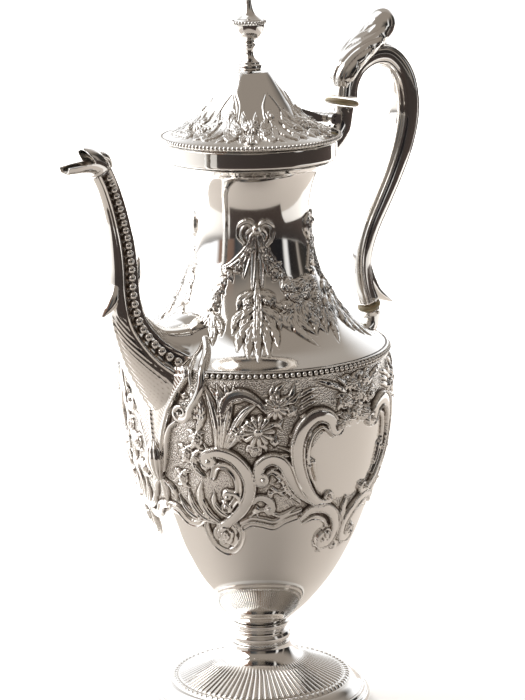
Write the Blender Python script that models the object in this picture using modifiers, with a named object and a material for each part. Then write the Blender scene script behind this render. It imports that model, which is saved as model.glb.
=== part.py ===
"""Silver coffee pot: an urn-shaped pot on a round foot, with a horn spout, a hinged lid and an insulated handle.

Frame: the pot's own axis is Z, the foot stands on Z = 0, the spout points along -X and the handle along +X.
Sizes below are in millimetres and are turned into metres by MM where the meshes are made.
"""

import math

import bmesh
import bpy
from mathutils import Matrix, Vector

for old in list(bpy.data.objects):
    bpy.data.objects.remove(old, do_unlink=True)

MM = 0.001
GAP = 0.3  # air left between two pieces that touch on the real pot
WALL = 1.2  # sheet thickness of the raised shells
ROUND = 36  # sides of a large turned piece
SMALL_ROUND = 18  # sides of a small turned piece

# Heights of the main seams, from the table up
STEM_FOOT = 28.6
STEM_TOP = 37.9
SHOULDER = 153.2
BAND_BOTTOM = 231.3
BAND_TOP = 238.2
LID_TOP = 266.1
POT_TOP = 300.0

# Outer radii
FOOT_R = 45.7
SHOULDER_R = 54.3
BAND_R = 34.6
LID_R = 35.1
STEM_R = 12.2

# Outer outlines (radius, height), top to bottom, of the raised shells
UPPER_BODY = [(33.6, 229.9), (28.2, 227.0), (24.7, 219.5), (23.0, 207.0), (24.2, 194.0), (28.4, 181.5), (35.4, 169.0),
              (44.5, 160.4), (52.8, 155.9)]
LOWER_BODY = [(SHOULDER_R, 151.6), (54.7, 138.0), (52.4, 115.0), (48.3, 98.0), (43.6, 84.5), (38.3, 72.0),
              (31.0, 59.0), (21.5, 47.0), (STEM_R, STEM_TOP + 0.4)]
FOOT_DOME = [(STEM_R, STEM_FOOT - 0.3), (13.2, 25.4), (16.6, 22.0), (22.4, 18.9), (29.0, 16.1), (35.8, 13.3),
             (39.4, 11.0), (41.2, 8.2)]
LID_DOME = [(8.4, LID_TOP), (12.0, 260.2), (15.6, 254.8), (19.0, 250.2), (23.0, 246.2), (28.4, 243.0), (LID_R, 240.9)]

# Lid hinge: axis along Y through this point
HINGE_X = 41.8
HINGE_Z = 243.0
HINGE_HALF_WIDTH = 6.0
KNUCKLE_R = 2.3
PIN_R = 0.8

# Handle: the disc insulators that break the path of heat, as (centre x, centre z, lean in degrees)
UPPER_DISC = (51.8, 248.4, 12.0)
LOWER_DISC = (66.6, 160.6, -20.0)
DISC_R = 7.2
LOWER_DISC_R = 5.6
DISC_THICK = 2.6
TENON_R = 2.3
TENON_LONG = 3.4
PIN_REACH = 3.1  # from a disc's middle to the pins that lock its tenons

# Handle centreline (x, z) with its half width, from the upper disc round to the lower one
HANDLE = [(52.16, 250.1, 5.4), (53.5, 256.2, 5.2), (57.6, 261.8, 4.9), (63.4, 265.0, 4.7), (70.0, 266.5, 4.7),
          (76.6, 265.7, 5.0), (82.2, 261.6, 5.4), (86.4, 255.0, 5.8), (88.4, 246.0, 6.0), (88.0, 237.0, 5.9),
          (84.8, 226.0, 5.5), (79.4, 215.0, 5.0), (73.0, 204.6, 4.7), (67.0, 195.0, 4.4), (63.2, 186.0, 4.1),
          (62.2, 177.6, 3.8), (63.6, 169.4, 3.8), (66.05, 162.1, 4.2)]
UPPER_SOCKET = [(51.44, 246.7, 5.0), (50.9, 243.4, 4.8), (49.8, 238.4, 4.7), (45.6, 233.4, 4.9), (38.6, 229.6, 5.3),
                (27.0, 227.6, 5.9)]
LOWER_SOCKET = [(67.18, 159.0, 4.0), (67.9, 156.4, 3.7), (66.8, 152.4, 3.5), (62.8, 149.0, 3.8), (56.0, 146.8, 4.8),
                (47.0, 145.8, 6.4)]

# The leaf the thumb rests on: centre x, z and half width, from above the upper disc to its rolled tip
THUMB_LEAF = [(49.6, 255.6, 2.6), (51.4, 260.0, 4.6), (55.6, 266.2, 5.4), (61.6, 270.6, 5.5), (68.0, 273.2, 5.4),
              (73.0, 276.4, 6.0), (76.6, 280.4, 4.6), (78.6, 282.8, 1.6)]

# Spout stations from inside the body to the mouth: centre x, z, half depth in the XZ plane, half width across Y
SPOUT = [(-40.0, 150.4, 25.5, 16.0), (-50.0, 155.6, 17.6, 13.4), (-59.2, 162.8, 11.4, 9.6), (-65.6, 172.0, 8.0, 6.4),
         (-68.3, 179.6, 7.0, 5.5), (-69.2, 187.6, 6.5, 4.9), (-69.2, 196.0, 6.2, 4.5), (-69.9, 204.6, 5.8, 4.2),
         (-71.3, 213.0, 5.1, 3.7), (-73.4, 221.3, 4.8, 3.4), (-76.2, 229.0, 4.6, 3.3), (-79.4, 235.0, 4.6, 3.5)]
LIP = [(-79.7, 235.6, 4.6, 3.5), (-81.0, 237.8, 4.8, 3.9), (-85.0, 239.8, 5.1, 4.4), (-90.5, 240.4, 5.2, 4.5),
       (-97.0, 240.3, 4.9, 3.4)]
FRAME_R = 1.6

silver_collection = bpy.data.collections.new("coffee_pot")
cutter_collection = bpy.data.collections.new("cutters")
bpy.context.scene.collection.children.link(silver_collection)
bpy.context.scene.collection.children.link(cutter_collection)


# ---------------------------------------------------------------- materials


def make_material(name, color, metallic, roughness):
    material = bpy.data.materials.new(name)
    material.use_nodes = True
    shader = material.node_tree.nodes["Principled BSDF"]
    shader.inputs["Base Color"].default_value = (*color, 1.0)
    shader.inputs["Metallic"].default_value = metallic
    shader.inputs["Roughness"].default_value = roughness
    return material


SILVER = make_material("polished_silver", (0.90, 0.88, 0.85), 1.0, 0.08)
GILT = make_material("worn_silver", (0.78, 0.74, 0.68), 1.0, 0.22)
IVORY = make_material("insulator_ivory", (0.72, 0.62, 0.42), 0.0, 0.35)


# ---------------------------------------------------------------- curves and profiles


def smooth_line(points, per_span):
    """A Catmull-Rom curve through points of any dimension, with per_span steps between neighbours."""
    padded = [Vector(p) for p in points]
    padded = [2 * padded[0] - padded[1], *padded, 2 * padded[-1] - padded[-2]]
    line = []
    for i in range(1, len(padded) - 2):
        a, b, c, d = padded[i - 1 : i + 3]
        for k in range(per_span):
            t = k / per_span
            line.append(0.5 * (2 * b + (c - a) * t + (2 * a - 5 * b + 4 * c - d) * t**2
                               + (3 * b - a - 3 * c + d) * t**3))
    return [*line, padded[-2]]


def radius_at(outline, height):
    """Radius of a turned outline at a height, measured along its smooth curve."""
    line = smooth_line(outline, 8)
    for upper, lower in zip(line, line[1:]):
        if lower.y <= height <= upper.y:
            share = (height - lower.y) / (upper.y - lower.y)
            return lower.x + (upper.x - lower.x) * share
    return line[0].x if height > line[0].y else line[-1].x


def arc(center, radius, start_deg, end_deg, steps):
    """Points on a circle in a profile's plane; 0 degrees points outward and 90 degrees up."""
    angles = [math.radians(start_deg + (end_deg - start_deg) * k / steps) for k in range(steps + 1)]
    return [(center[0] + radius * math.cos(a), center[1] + radius * math.sin(a)) for a in angles]


# ---------------------------------------------------------------- object makers


def add_object(name, mesh, material, collection=None):
    obj = bpy.data.objects.new(name, mesh)
    (collection or silver_collection).objects.link(obj)
    obj.data.materials.append(material)
    return obj


def smooth_shade(obj, degrees=40):
    obj.data.shade_smooth()
    obj.data.set_sharp_from_angle(angle=math.radians(degrees))


def turned(name, profile, material, sides=ROUND, closed=True, collection=None):
    """Turns a profile about Z with a Screw modifier. It runs down its outer side; a closed one returns up inside."""
    mesh = bpy.data.meshes.new(name)
    edges = [(i, i + 1) for i in range(len(profile) - 1)]
    if closed:
        edges.append((len(profile) - 1, 0))
    mesh.from_pydata([(r * MM, 0, z * MM) for r, z in profile], edges, [])
    obj = add_object(name, mesh, material, collection)
    screw = obj.modifiers.new("turn", "SCREW")
    screw.steps = screw.render_steps = sides
    screw.use_merge_vertices = True
    screw.merge_threshold = 0.00001
    screw.use_smooth_shade = True
    return obj


def turned_shell(name, outline, material, per_span=2, wall=WALL, sides=ROUND):
    """A raised sheet: an open outline turned about Z and given its thickness inward."""
    profile = [(p.x, p.y) for p in smooth_line(outline, per_span)]
    obj = turned(name, profile, material, sides, closed=False)
    sheet = obj.modifiers.new("sheet", "SOLIDIFY")
    sheet.thickness = wall * MM
    sheet.offset = -1
    sheet.use_even_offset = True
    return obj


def lofted(name, rings, material, capped=False, wall=None, collection=None):
    """Skins a row of rings of points. An open skin takes a wall by Solidify; a capped one is a solid."""
    mesh = bpy.data.meshes.new(name)
    work = bmesh.new()
    made = [[work.verts.new(Vector(p) * MM) for p in ring] for ring in rings]
    count = len(rings[0])
    for low, high in zip(made, made[1:]):
        for k in range(count):
            work.faces.new((low[k], low[(k + 1) % count], high[(k + 1) % count], high[k]))
    if capped:
        work.faces.new(list(reversed(made[0])))
        work.faces.new(made[-1])
    bmesh.ops.recalc_face_normals(work, faces=work.faces)
    work.to_mesh(mesh)
    work.free()
    obj = add_object(name, mesh, material, collection)
    if wall:
        sheet = obj.modifiers.new("sheet", "SOLIDIFY")
        sheet.thickness = wall * MM
        sheet.offset = -1
    smooth_shade(obj)
    return obj


def section(center, along, half_in_plane, half_across, sides, power=2.0):
    """A ring of points round a centre in the XZ plane, at right angles to a direction in that plane.

    power 2 is an ellipse, below 2 a soft diamond and above 2 a soft rectangle.
    """
    outward = Vector((along.z, 0, -along.x))
    ring = []
    for k in range(sides):
        angle = 2 * math.pi * k / sides
        c, s = math.cos(angle), math.sin(angle)
        u = math.copysign(abs(c) ** (2 / power), c) * half_in_plane
        v = math.copysign(abs(s) ** (2 / power), s) * half_across
        ring.append(center + outward * u + Vector((0, v, 0)))
    return ring


def swept_rings(route, sides, across=1.0, power=2.0, per_span=2):
    """Rings along a smooth route of (x, z, half width) in the XZ plane."""
    line = smooth_line(route, per_span)
    rings = []
    for i, p in enumerate(line):
        before, after = line[max(i - 1, 0)], line[min(i + 1, len(line) - 1)]
        along = Vector((after.x - before.x, 0, after.y - before.y)).normalized()
        rings.append(section(Vector((p.x, 0, p.y)), along, p.z, p.z * across, sides, power))
    return rings


def cylinder(name, start, end, radius, material, sides=12, collection=None):
    """A cylinder between two points."""
    start, end = Vector(start) * MM, Vector(end) * MM
    mesh = bpy.data.meshes.new(name)
    work = bmesh.new()
    bmesh.ops.create_cone(work, cap_ends=True, segments=sides, radius1=radius * MM, radius2=radius * MM,
                          depth=(end - start).length)
    work.to_mesh(mesh)
    work.free()
    obj = add_object(name, mesh, material, collection)
    obj.location = (start + end) / 2
    obj.rotation_euler = (end - start).to_track_quat("Z", "Y").to_euler()
    smooth_shade(obj)
    return obj


def box(name, low, high, material, collection=None):
    low, high = Vector(low) * MM, Vector(high) * MM
    mesh = bpy.data.meshes.new(name)
    work = bmesh.new()
    size = high - low
    bmesh.ops.create_cube(work, size=1, matrix=Matrix.Diagonal((*size, 1)))
    work.to_mesh(mesh)
    work.free()
    obj = add_object(name, mesh, material, collection)
    obj.location = (low + high) / 2
    return obj


def wire(name, points, radius, material, sides=2, closed=False):
    """A wire along points, as a curve with a round bevel; radius is one value or one for each point."""
    curve = bpy.data.curves.new(name, "CURVE")
    curve.dimensions = "3D"
    curve.bevel_depth = MM
    curve.bevel_resolution = sides
    curve.use_fill_caps = True
    spline = curve.splines.new("POLY")
    spline.points.add(len(points) - 1)
    spline.use_cyclic_u = closed
    for i, p in enumerate(points):
        spline.points[i].co = (*(Vector(p) * MM), 1)
        spline.points[i].radius = radius[i] if isinstance(radius, list) else radius
    obj = bpy.data.objects.new(name, curve)
    silver_collection.objects.link(obj)
    curve.materials.append(material)
    return obj


def boolean(obj, cutter, operation="DIFFERENCE"):
    cutter.hide_render = True
    cutter.display_type = "WIRE"
    cut = obj.modifiers.new(cutter.name, "BOOLEAN")
    cut.operation = operation
    cut.object = cutter
    return obj


def fixed_mesh(obj):
    """Replaces an object's mesh by its evaluated one, so that it can be joined to others."""
    bpy.context.view_layer.update()
    mesh = bpy.data.meshes.new_from_object(obj.evaluated_get(bpy.context.evaluated_depsgraph_get()))
    mesh.transform(obj.matrix_world)
    obj.modifiers.clear()
    obj.data = mesh
    obj.matrix_world = Matrix.Identity(4)
    return obj


def united(name, pieces, material):
    """One solid from overlapping pieces, by Boolean union."""
    base = fixed_mesh(pieces[0])
    base.name = name
    base.data.name = name
    for other in pieces[1:]:
        fixed_mesh(other)
        boolean(base, other, "UNION")
    fixed_mesh(base)
    for other in pieces[1:]:
        bpy.data.objects.remove(other, do_unlink=True)
    base.data.materials.clear()
    base.data.materials.append(material)
    smooth_shade(base)
    return base


# ---------------------------------------------------------------- foot, stem and body


def make_cutter_bodies():
    """The pot's outer form grown by the gap, as a cutter for what is soldered on to it."""
    top = [(BAND_R + GAP, BAND_TOP + 20), (BAND_R + GAP, BAND_BOTTOM - GAP)]
    neck = [(p.x + GAP, p.y) for p in smooth_line(UPPER_BODY, 2)]
    bowl = [(p.x + GAP, p.y) for p in smooth_line(LOWER_BODY, 2)]
    profile = [(0, BAND_TOP + 20), *top, *neck, *bowl, (0, STEM_TOP)]
    return turned("cut_pot_form", profile, SILVER, closed=False, collection=cutter_collection)


def make_foot():
    wall = [(r - 1.3, z - 1.4) for r, z in FOOT_DOME]
    wall[0] = (STEM_R - 2.6, FOOT_DOME[0][1])
    outer = [(p.x, p.y) for p in smooth_line(FOOT_DOME, 2)]
    inner = [(p.x, p.y) for p in smooth_line(wall, 1)]
    turned("foot_dome", [*outer, *reversed(inner)], SILVER)
    rim = [(42.0, 8.6), (43.4, 7.4), (44.6, 6.7), (FOOT_R, 5.6), (FOOT_R, 0), (42.3, 0), (42.3, 4.6), (41.6, 6.8)]
    turned("foot_rim_wire", rim, SILVER)
    notched = [*arc((36.4, 14.2), 0.7, 90, -90, 4), (35.9, 13.9)]
    turned("foot_notched_wire", notched, SILVER)


def make_stem():
    low, high = STEM_FOOT, STEM_TOP
    rings = [*arc((11.4, low + 2.0), 1.6, 80, -80, 5)]
    knop = [(10.2, high), *arc((11.3, high - 1.3), 1.1, 80, -80, 4), (10.9, high - 3.1), (10.7, high - 4.4),
            *rings, (10.2, low), (8.4, low), (8.4, high)]
    turned("stem_collar", knop, SILVER)


def make_lower_body():
    outline = smooth_line(LOWER_BODY, 2)
    outer = [(p.x, p.y) for p in outline]
    inner = [(max(r - WALL, 0), z + 0.25 * WALL) for r, z in outer[:-1]]
    inner[0] = (inner[0][0], outer[0][1])
    profile = [*outer, (0, STEM_TOP + 0.4), (0, STEM_TOP + 0.4 + WALL), (inner[-1][0] - 3, STEM_TOP + 0.4 + WALL)]
    body = turned("lower_body", [*profile, *reversed(inner)], SILVER)
    for row, height in enumerate((136.0, 141.5, 147.0)):
        for column in range(3 if row % 2 == 0 else 2):
            across = (column - (1.0 if row % 2 == 0 else 0.5)) * 7.0
            hole = cylinder(f"cut_strainer_{row}_{column}", (-70, across, height), (-40, across, height), 2.0, SILVER,
                            sides=8, collection=cutter_collection)
            boolean(body, hole)


def make_upper_body():
    turned_shell("upper_body", UPPER_BODY, SILVER)


def make_shoulder_wire():
    """The beaded moulding that covers the seam, left open where the spout's base crosses it."""
    profile = [(SHOULDER_R - 0.8, 154.3), *arc((SHOULDER_R + 0.1, 153.4), 1.0, 80, -60, 4),
               (SHOULDER_R + 0.6, 152.0), (SHOULDER_R - 0.8, 151.9)]
    ring = turned("shoulder_bead_wire", profile, SILVER)
    cutter = box("cut_bead_at_spout", (-70, -26.2, 145), (-30, 26.2, 160), SILVER, cutter_collection)
    boolean(ring, cutter)


def make_band():
    inner = BAND_R - 1.3
    turned("neck_band", [(BAND_R, BAND_TOP), (BAND_R, BAND_BOTTOM), (inner, BAND_BOTTOM), (inner, BAND_TOP)], SILVER)


# ---------------------------------------------------------------- lid and finial


def make_lid():
    outer = [(p.x, p.y) for p in smooth_line(LID_DOME, 2)]
    inner = [(r - 0.35, z - 1.15) for r, z in outer]
    hole = 1.7
    profile = [(hole, LID_TOP), *outer, *reversed(inner), (hole, LID_TOP - 1.15)]
    turned("lid_dome", profile, SILVER)
    turned("lid_bead_wire", arc((LID_R + 0.7, 239.9), 1.0, 90, -225, 7), SILVER)
    turned("lid_bezel", [(32.6, 240.2), (32.6, 235.0), (31.6, 234.6), (31.6, 240.2)], SILVER)


def make_finial():
    pedestal = [(0, 277.6), (1.9, 277.6), (2.6, 276.4), (1.9, 275.2), (1.7, 273.2), (2.3, 271.6), (3.6, 270.2),
                (4.2, 269.3), (4.9, 268.8), (4.9, LID_TOP + GAP), (1.4, LID_TOP + GAP), (1.4, 270.6), (0, 270.6)]
    turned("finial_pedestal", pedestal, SILVER, SMALL_ROUND, closed=False)
    urn = [(0, 285.0), *[(p.x, p.y) for p in smooth_line([(6.4, 285.0), (6.0, 282.6), (4.6, 280.2), (2.8, 278.7)], 2)],
           (2.2, 277.9), (0, 277.9)]
    turned("finial_urn", urn, SILVER, SMALL_ROUND, closed=False)
    turned("finial_bead_rim", [(5.2, 286.6), *arc((6.7, 285.95), 0.7, 80, -80, 3), (5.2, 285.3)], SILVER, SMALL_ROUND)
    spire = smooth_line([(4.9, 286.9), (3.2, 288.6), (2.1, 291.2), (1.5, 294.6)], 3)
    ball = arc((0, 297.4), 1.7, 60, -60, 4)
    outline = [(0, POT_TOP), (0.7, POT_TOP - 0.5), *ball, *[(p.x, p.y) for p in reversed(spire)], (4.9, 286.3),
               (0, 286.3)]
    turned("finial_spire", outline, SILVER, SMALL_ROUND, closed=False)
    cylinder("finial_stud", (0, 0, 258.2), (0, 0, 270.2), 1.1, GILT)
    washer = [(3.6, LID_TOP - 1.5), (3.6, LID_TOP - 2.1), (1.4, LID_TOP - 2.1), (1.4, LID_TOP - 1.5)]
    turned("finial_washer", washer, GILT, SMALL_ROUND)
    nut_top = LID_TOP - 2.4
    turned("finial_nut", [(3.1, nut_top), (3.1, nut_top - 2.6), (1.4, nut_top - 2.6), (1.4, nut_top)], GILT, 6)


# ---------------------------------------------------------------- hinge


def knuckle(name, start_y, end_y):
    return cylinder(name, (HINGE_X, start_y, HINGE_Z), (HINGE_X, end_y, HINGE_Z), KNUCKLE_R, SILVER, sides=16)


def bored(obj):
    """Cuts the pin's hole through a hinge leaf."""
    name = "cut_" + obj.name
    hole = cylinder(name, (HINGE_X, -9, HINGE_Z), (HINGE_X, 9, HINGE_Z), PIN_R + 0.25, SILVER, 16, cutter_collection)
    boolean(obj, hole)


def make_hinge():
    """Five knuckles: three on the pot, two on the lid, with a strap that climbs the lid's slope."""
    width = HINGE_HALF_WIDTH
    strap_half = 3.35
    bracket = box("bracket", (HINGE_X, -width, 240.9), (HINGE_X + 3.4, width, 244.4), SILVER)
    slots = [box(f"cut_slot_{side}", (40, side * 2.375 - 1.225, 239), (HINGE_X + 2.6, side * 2.375 + 1.225, 247), SILVER,
                 cutter_collection) for side in (-1, 1)]
    fixed = [knuckle("k1", -width, -3.6), knuckle("k3", -1.15, 1.15), knuckle("k5", 3.6, width)]
    for slot in slots:
        boolean(bracket, slot)
    bored(united("hinge_body_leaf", [bracket, *fixed], SILVER))
    lower = [(22.4, 246.7), (26.0, 245.0), (32.0, 242.7), (37.0, 242.0), (HINGE_X - 1.0, 241.4)]
    upper = [(22.4, 248.2), (26.0, 248.6), (32.0, 246.6), (37.0, 244.7), (HINGE_X - 1.0, 244.4)]
    # the strap is cut back where the pot's own knuckles turn
    rings = [[(a, -strap_half, b), (a, strap_half, b), (c, strap_half, d), (c, -strap_half, d)]
             for (a, b), (c, d) in zip(lower, upper)]
    strap = lofted("strap", rings, SILVER, capped=True)
    moving = [knuckle("k2", -3.35, -1.4), knuckle("k4", 1.4, 3.35)]
    leaf = united("hinge_lid_leaf", [strap, *moving], SILVER)
    room = cylinder("cut_middle_knuckle", (HINGE_X, -1.4, HINGE_Z), (HINGE_X, 1.4, HINGE_Z), KNUCKLE_R + 0.5, SILVER,
                    16, cutter_collection)
    boolean(leaf, room)
    bored(leaf)
    lid_form = [(0, 270.0), *[(p.x + 0.1, p.y + GAP) for p in smooth_line(LID_DOME, 2)], (LID_R + 2.1, 240.9),
                (LID_R + 2.1, 238.0), (0, 238.0)]
    cutter = turned("cut_lid_form", lid_form, SILVER, closed=False, collection=cutter_collection)
    boolean(leaf, cutter)
    cylinder("hinge_pin", (HINGE_X, -width - 0.4, HINGE_Z), (HINGE_X, width + 0.4, HINGE_Z), PIN_R, GILT)


# ---------------------------------------------------------------- handle


def make_disc(name, place, radius):
    """A heat break: a disc with a round tenon each side, turned and then leaned in the XZ plane."""
    half = DISC_THICK / 2
    reach = half + TENON_LONG
    profile = [(0, reach), (TENON_R, reach), (TENON_R, half), *arc((radius - half, 0), half, 90, -90, 4),
               (TENON_R, -half), (TENON_R, -reach), (0, -reach)]
    obj = turned(name, profile, IVORY, SMALL_ROUND, closed=False)
    obj.location = (place[0] * MM, 0, place[1] * MM)
    obj.rotation_euler = (0, math.radians(place[2]), 0)
    return obj


def make_tube(name, route, power=2.4, across=1.0, wall=1.0, sides=14):
    return lofted(name, swept_rings(route, sides, across, power), SILVER, wall=wall)


def form_of(route, grow, name):
    """A solid copy of a swept tube, grown a little, to cut what lies against it."""
    grown = [(x, z, r + grow) for x, z, r in route]
    return lofted(name, swept_rings(grown, 14, 1.0, 2.4), SILVER, capped=True, collection=cutter_collection)


def pin_beside(disc, direction, number, targets):
    """A pin across the handle at one side of a disc, and its hole through tube and tenon."""
    lean = math.radians(disc[2])
    x = disc[0] + math.sin(lean) * PIN_REACH * direction
    z = disc[1] + math.cos(lean) * PIN_REACH * direction
    for target in targets:
        name = f"cut_pin_{number}_{target.name}"
        boolean(target, cylinder(name, (x, -8, z), (x, 8, z), 0.9, SILVER, 12, cutter_collection))
    cylinder(f"handle_pin_{number}", (x, -5.2, z), (x, 5.2, z), 0.75, GILT)


def make_handle(pot_form):
    grip = make_tube("handle_grip", HANDLE)
    upper = make_tube("handle_upper_socket", UPPER_SOCKET)
    boolean(upper, pot_form)
    lower = make_tube("handle_lower_socket", LOWER_SOCKET)
    boolean(lower, pot_form)
    upper_disc = make_disc("handle_upper_insulator", UPPER_DISC, DISC_R)
    lower_disc = make_disc("handle_lower_insulator", LOWER_DISC, LOWER_DISC_R)
    pin_beside(UPPER_DISC, -1, 1, [upper, upper_disc])
    pin_beside(UPPER_DISC, 1, 2, [grip, upper_disc])
    pin_beside(LOWER_DISC, -1, 3, [lower, lower_disc])
    pin_beside(LOWER_DISC, 1, 4, [grip, lower_disc])

    grip_form = form_of(HANDLE, 1.5 * GAP, "cut_grip_form")
    leaf = lofted("thumb_leaf", swept_rings(THUMB_LEAF, 16, 0.95, 2.0), SILVER, capped=True)
    boolean(leaf, grip_form)
    spur_route = [(70.0, 169.8, 2.6), (74.4, 165.6, 2.1), (80.4, 160.4, 0.7)]
    spur = lofted("handle_spur_leaf", swept_rings(spur_route, 12, 0.9, 2.0), SILVER, capped=True)
    boolean(spur, grip_form)


# ---------------------------------------------------------------- spout


def spout_rings(stations, sides, per_span, grow=0.0):
    line = smooth_line(stations, per_span)
    rings = []
    for i, p in enumerate(line):
        before, after = line[max(i - 1, 0)], line[min(i + 1, len(line) - 1)]
        along = Vector((after[0] - before[0], 0, after[1] - before[1])).normalized()
        rings.append(section(Vector((p[0], 0, p[1])), along, p[2] + grow, p[3] + grow, sides, 2.3))
    return rings


def prism(name, outline, half_width):
    """A cutter with an outline in the XZ plane, reaching half_width to each side."""
    rings = [[(x, y, z) for x, z in outline] for y in (-half_width, half_width)]
    return lofted(name, rings, SILVER, capped=True, collection=cutter_collection)


def on_body(angle_deg, height, lift):
    """A point on the pot's skin, at an angle from the spout round Z, lifted off it at right angles."""
    outline = UPPER_BODY if height > SHOULDER else LOWER_BODY
    slope = (radius_at(outline, height + 0.4) - radius_at(outline, height - 0.4)) / 0.8
    outward = Vector((1, -slope)).normalized() * lift
    radius = radius_at(outline, height) + outward.x
    angle = math.radians(180 + angle_deg)
    return (radius * math.cos(angle), radius * math.sin(angle), height + outward.y)


def make_spout(pot_form):
    shell = lofted("spout_shell", spout_rings(SPOUT, 20, 2), SILVER, wall=1.0)
    boolean(shell, pot_form)
    lip = lofted("spout_lip", spout_rings(LIP, 20, 2), SILVER, wall=0.9)
    notch = [(-84.6, 239.4), (-103.0, 238.0), (-103.0, 249.0), (-90.6, 248.0)]
    boolean(lip, prism("cut_mouth", notch, 12))

    route = smooth_line(SPOUT, 2)[5:-1]
    sides = smooth_line([(p[0], p[1], p[3] * 0.98) for p in route], 1)
    radii = [1.15 + 0.45 * (1 - i / (len(sides) - 1)) for i in range(len(sides))]
    for side, label in ((-1, "left"), (1, "right")):
        points = [(p.x, side * (p.z + GAP + r), p.y) for p, r in zip(sides, radii)]
        wire(f"spout_bead_wire_{label}", points, radii, SILVER)
        frame = [(side * 19.5, 165.4), (side * 22.5, 160.6), (side * 24.0, 155.4), (side * 24.6, 149.0),
                 (side * 23.6, 141.0), (side * 20.5, 133.4), (side * 16.0, 127.4), (side * 10.5, 124.0)]
        skin = smooth_line([on_body(a, z, FRAME_R + 1.3) for a, z in frame], 2)
        wire(f"spout_frame_{label}", skin, FRAME_R, SILVER)

    pendant = lofted("spout_pendant", spout_rings([(-53.4, 109.8, 0.8, 0.8), (-53.6, 112.6, 2.4, 3.2),
                                                   (-54.0, 117.0, 3.4, 6.4), (-54.4, 121.4, 2.4, 5.6),
                                                   (-54.5, 123.6, 1.2, 2.4)], 16, 2), SILVER, capped=True)
    boolean(pendant, pot_form)
    spur_route = [(-75.2, 181.4, 3.2, 3.0), (-78.6, 180.4, 2.2, 2.2), (-82.3, 178.2, 0.6, 0.7)]
    spur = lofted("spout_spur_leaf", spout_rings(spur_route, 12, 2), SILVER, capped=True)
    form = lofted("cut_spout_form", spout_rings(SPOUT, 20, 2, GAP), SILVER, capped=True, collection=cutter_collection)
    boolean(spur, form)


build_form = make_cutter_bodies()
make_foot()
make_stem()
make_lower_body()
make_upper_body()
make_shoulder_wire()
make_band()
make_lid()
make_finial()
make_hinge()
make_handle(build_form)
make_spout(build_form)


def hang_lid():
    """Hangs the lid and all that rides on it from one empty on the hinge's axis; turning it about Y opens the lid."""
    pivot = bpy.data.objects.new("lid_pivot", None)
    pivot.location = Vector((HINGE_X, 0, HINGE_Z)) * MM
    silver_collection.objects.link(pivot)
    for obj in silver_collection.objects:
        if obj.name.startswith(("lid_dome", "lid_bead", "lid_bezel", "finial_", "hinge_lid_leaf")):
            obj.parent = pivot
            obj.matrix_parent_inverse = Matrix.Translation(-pivot.location)


hang_lid()
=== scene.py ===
# %% [markdown]
# # A chased silver coffee pot
# This lesson dresses the plain model of an urn-shaped coffee pot in the detail that a silversmith gives it. The sheet
# metal is raised, then chased: flowers, scrolls and leaves are pushed out from inside and outlined from outside.
# Everything here is in millimetres until the moment a mesh is made.

# %% Load the plain model
import math

import bpy
import numpy as np
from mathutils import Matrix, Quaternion, Vector


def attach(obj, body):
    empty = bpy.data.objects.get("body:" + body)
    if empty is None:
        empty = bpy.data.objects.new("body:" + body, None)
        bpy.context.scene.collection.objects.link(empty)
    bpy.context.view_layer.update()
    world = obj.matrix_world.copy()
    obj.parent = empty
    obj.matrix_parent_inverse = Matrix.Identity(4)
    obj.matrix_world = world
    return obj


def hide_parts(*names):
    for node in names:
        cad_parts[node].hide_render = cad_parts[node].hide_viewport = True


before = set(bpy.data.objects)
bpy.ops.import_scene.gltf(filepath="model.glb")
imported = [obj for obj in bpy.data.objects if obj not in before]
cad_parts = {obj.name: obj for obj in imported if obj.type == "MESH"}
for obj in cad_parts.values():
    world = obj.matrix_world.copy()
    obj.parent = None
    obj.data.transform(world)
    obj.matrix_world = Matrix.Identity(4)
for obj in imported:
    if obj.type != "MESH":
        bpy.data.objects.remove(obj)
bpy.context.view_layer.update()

MM = 0.001

# %% [markdown]
# ## Where the eye stands
# The pot is seen from the spout's side, from a little above the lid's edge, through a long lens, so that the foot's
# ellipse stays shallow. The camera is rolled by one degree, as a hand-held one would be.

# %% Camera
SIGHT_HEIGHT = 151.9  # the point on the pot's axis that the camera looks at
DISTANCE = 1141.0
PITCH = math.radians(12.6)
FACING = math.radians(227.0)  # direction from the axis towards the camera, round Z from +X
LENS = 143.7
AIM_ASIDE = 3.2  # how far right of the axis the middle of the view lies
ROLL = -0.0172
toward = Vector((math.cos(FACING) * math.cos(PITCH), math.sin(FACING) * math.cos(PITCH), math.sin(PITCH)))
to_right = Vector((-math.sin(FACING), math.cos(FACING), 0))

camera = bpy.data.objects.new("camera", bpy.data.cameras.new("camera"))
bpy.context.scene.collection.objects.link(camera)
bpy.context.scene.camera = camera
camera.data.sensor_width = 36
camera.data.lens = LENS
camera.data.clip_start = 0.05
middle = Vector((0, 0, SIGHT_HEIGHT))
camera.location = (middle + toward * DISTANCE) * MM
aim = middle + to_right * AIM_ASIDE
look = (aim - middle - toward * DISTANCE).normalized().to_track_quat("-Z", "Y")
camera.rotation_mode = "QUATERNION"
camera.rotation_quaternion = look @ Quaternion((0, 0, 1), ROLL)
print("camera at", [round(c, 3) for c in camera.location])

# %% [markdown]
# ## What the silver sees
# Polished silver has almost no look of its own: it shows the room. The room here is bright and white behind and to the
# left of the pot, where a window would be, warm grey overhead, and dark with a few bright slits on the camera's right,
# as a doorway with furniture in it. It is all painted on the sky by direction, with two colour ramps round the
# horizon and a blend by height.

# %% Helpers for node trees


def add_node(tree, kind, inputs=None, **settings):
    """A node with its settings, and with inputs that are numbers, colours or other nodes' outputs."""
    node = tree.nodes.new(kind)
    for key, value in settings.items():
        setattr(node, key, value)
    for key, value in (inputs or {}).items():
        if isinstance(value, bpy.types.NodeSocket):
            tree.links.new(value, node.inputs[key])
        else:
            node.inputs[key].default_value = value
    return node


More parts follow.
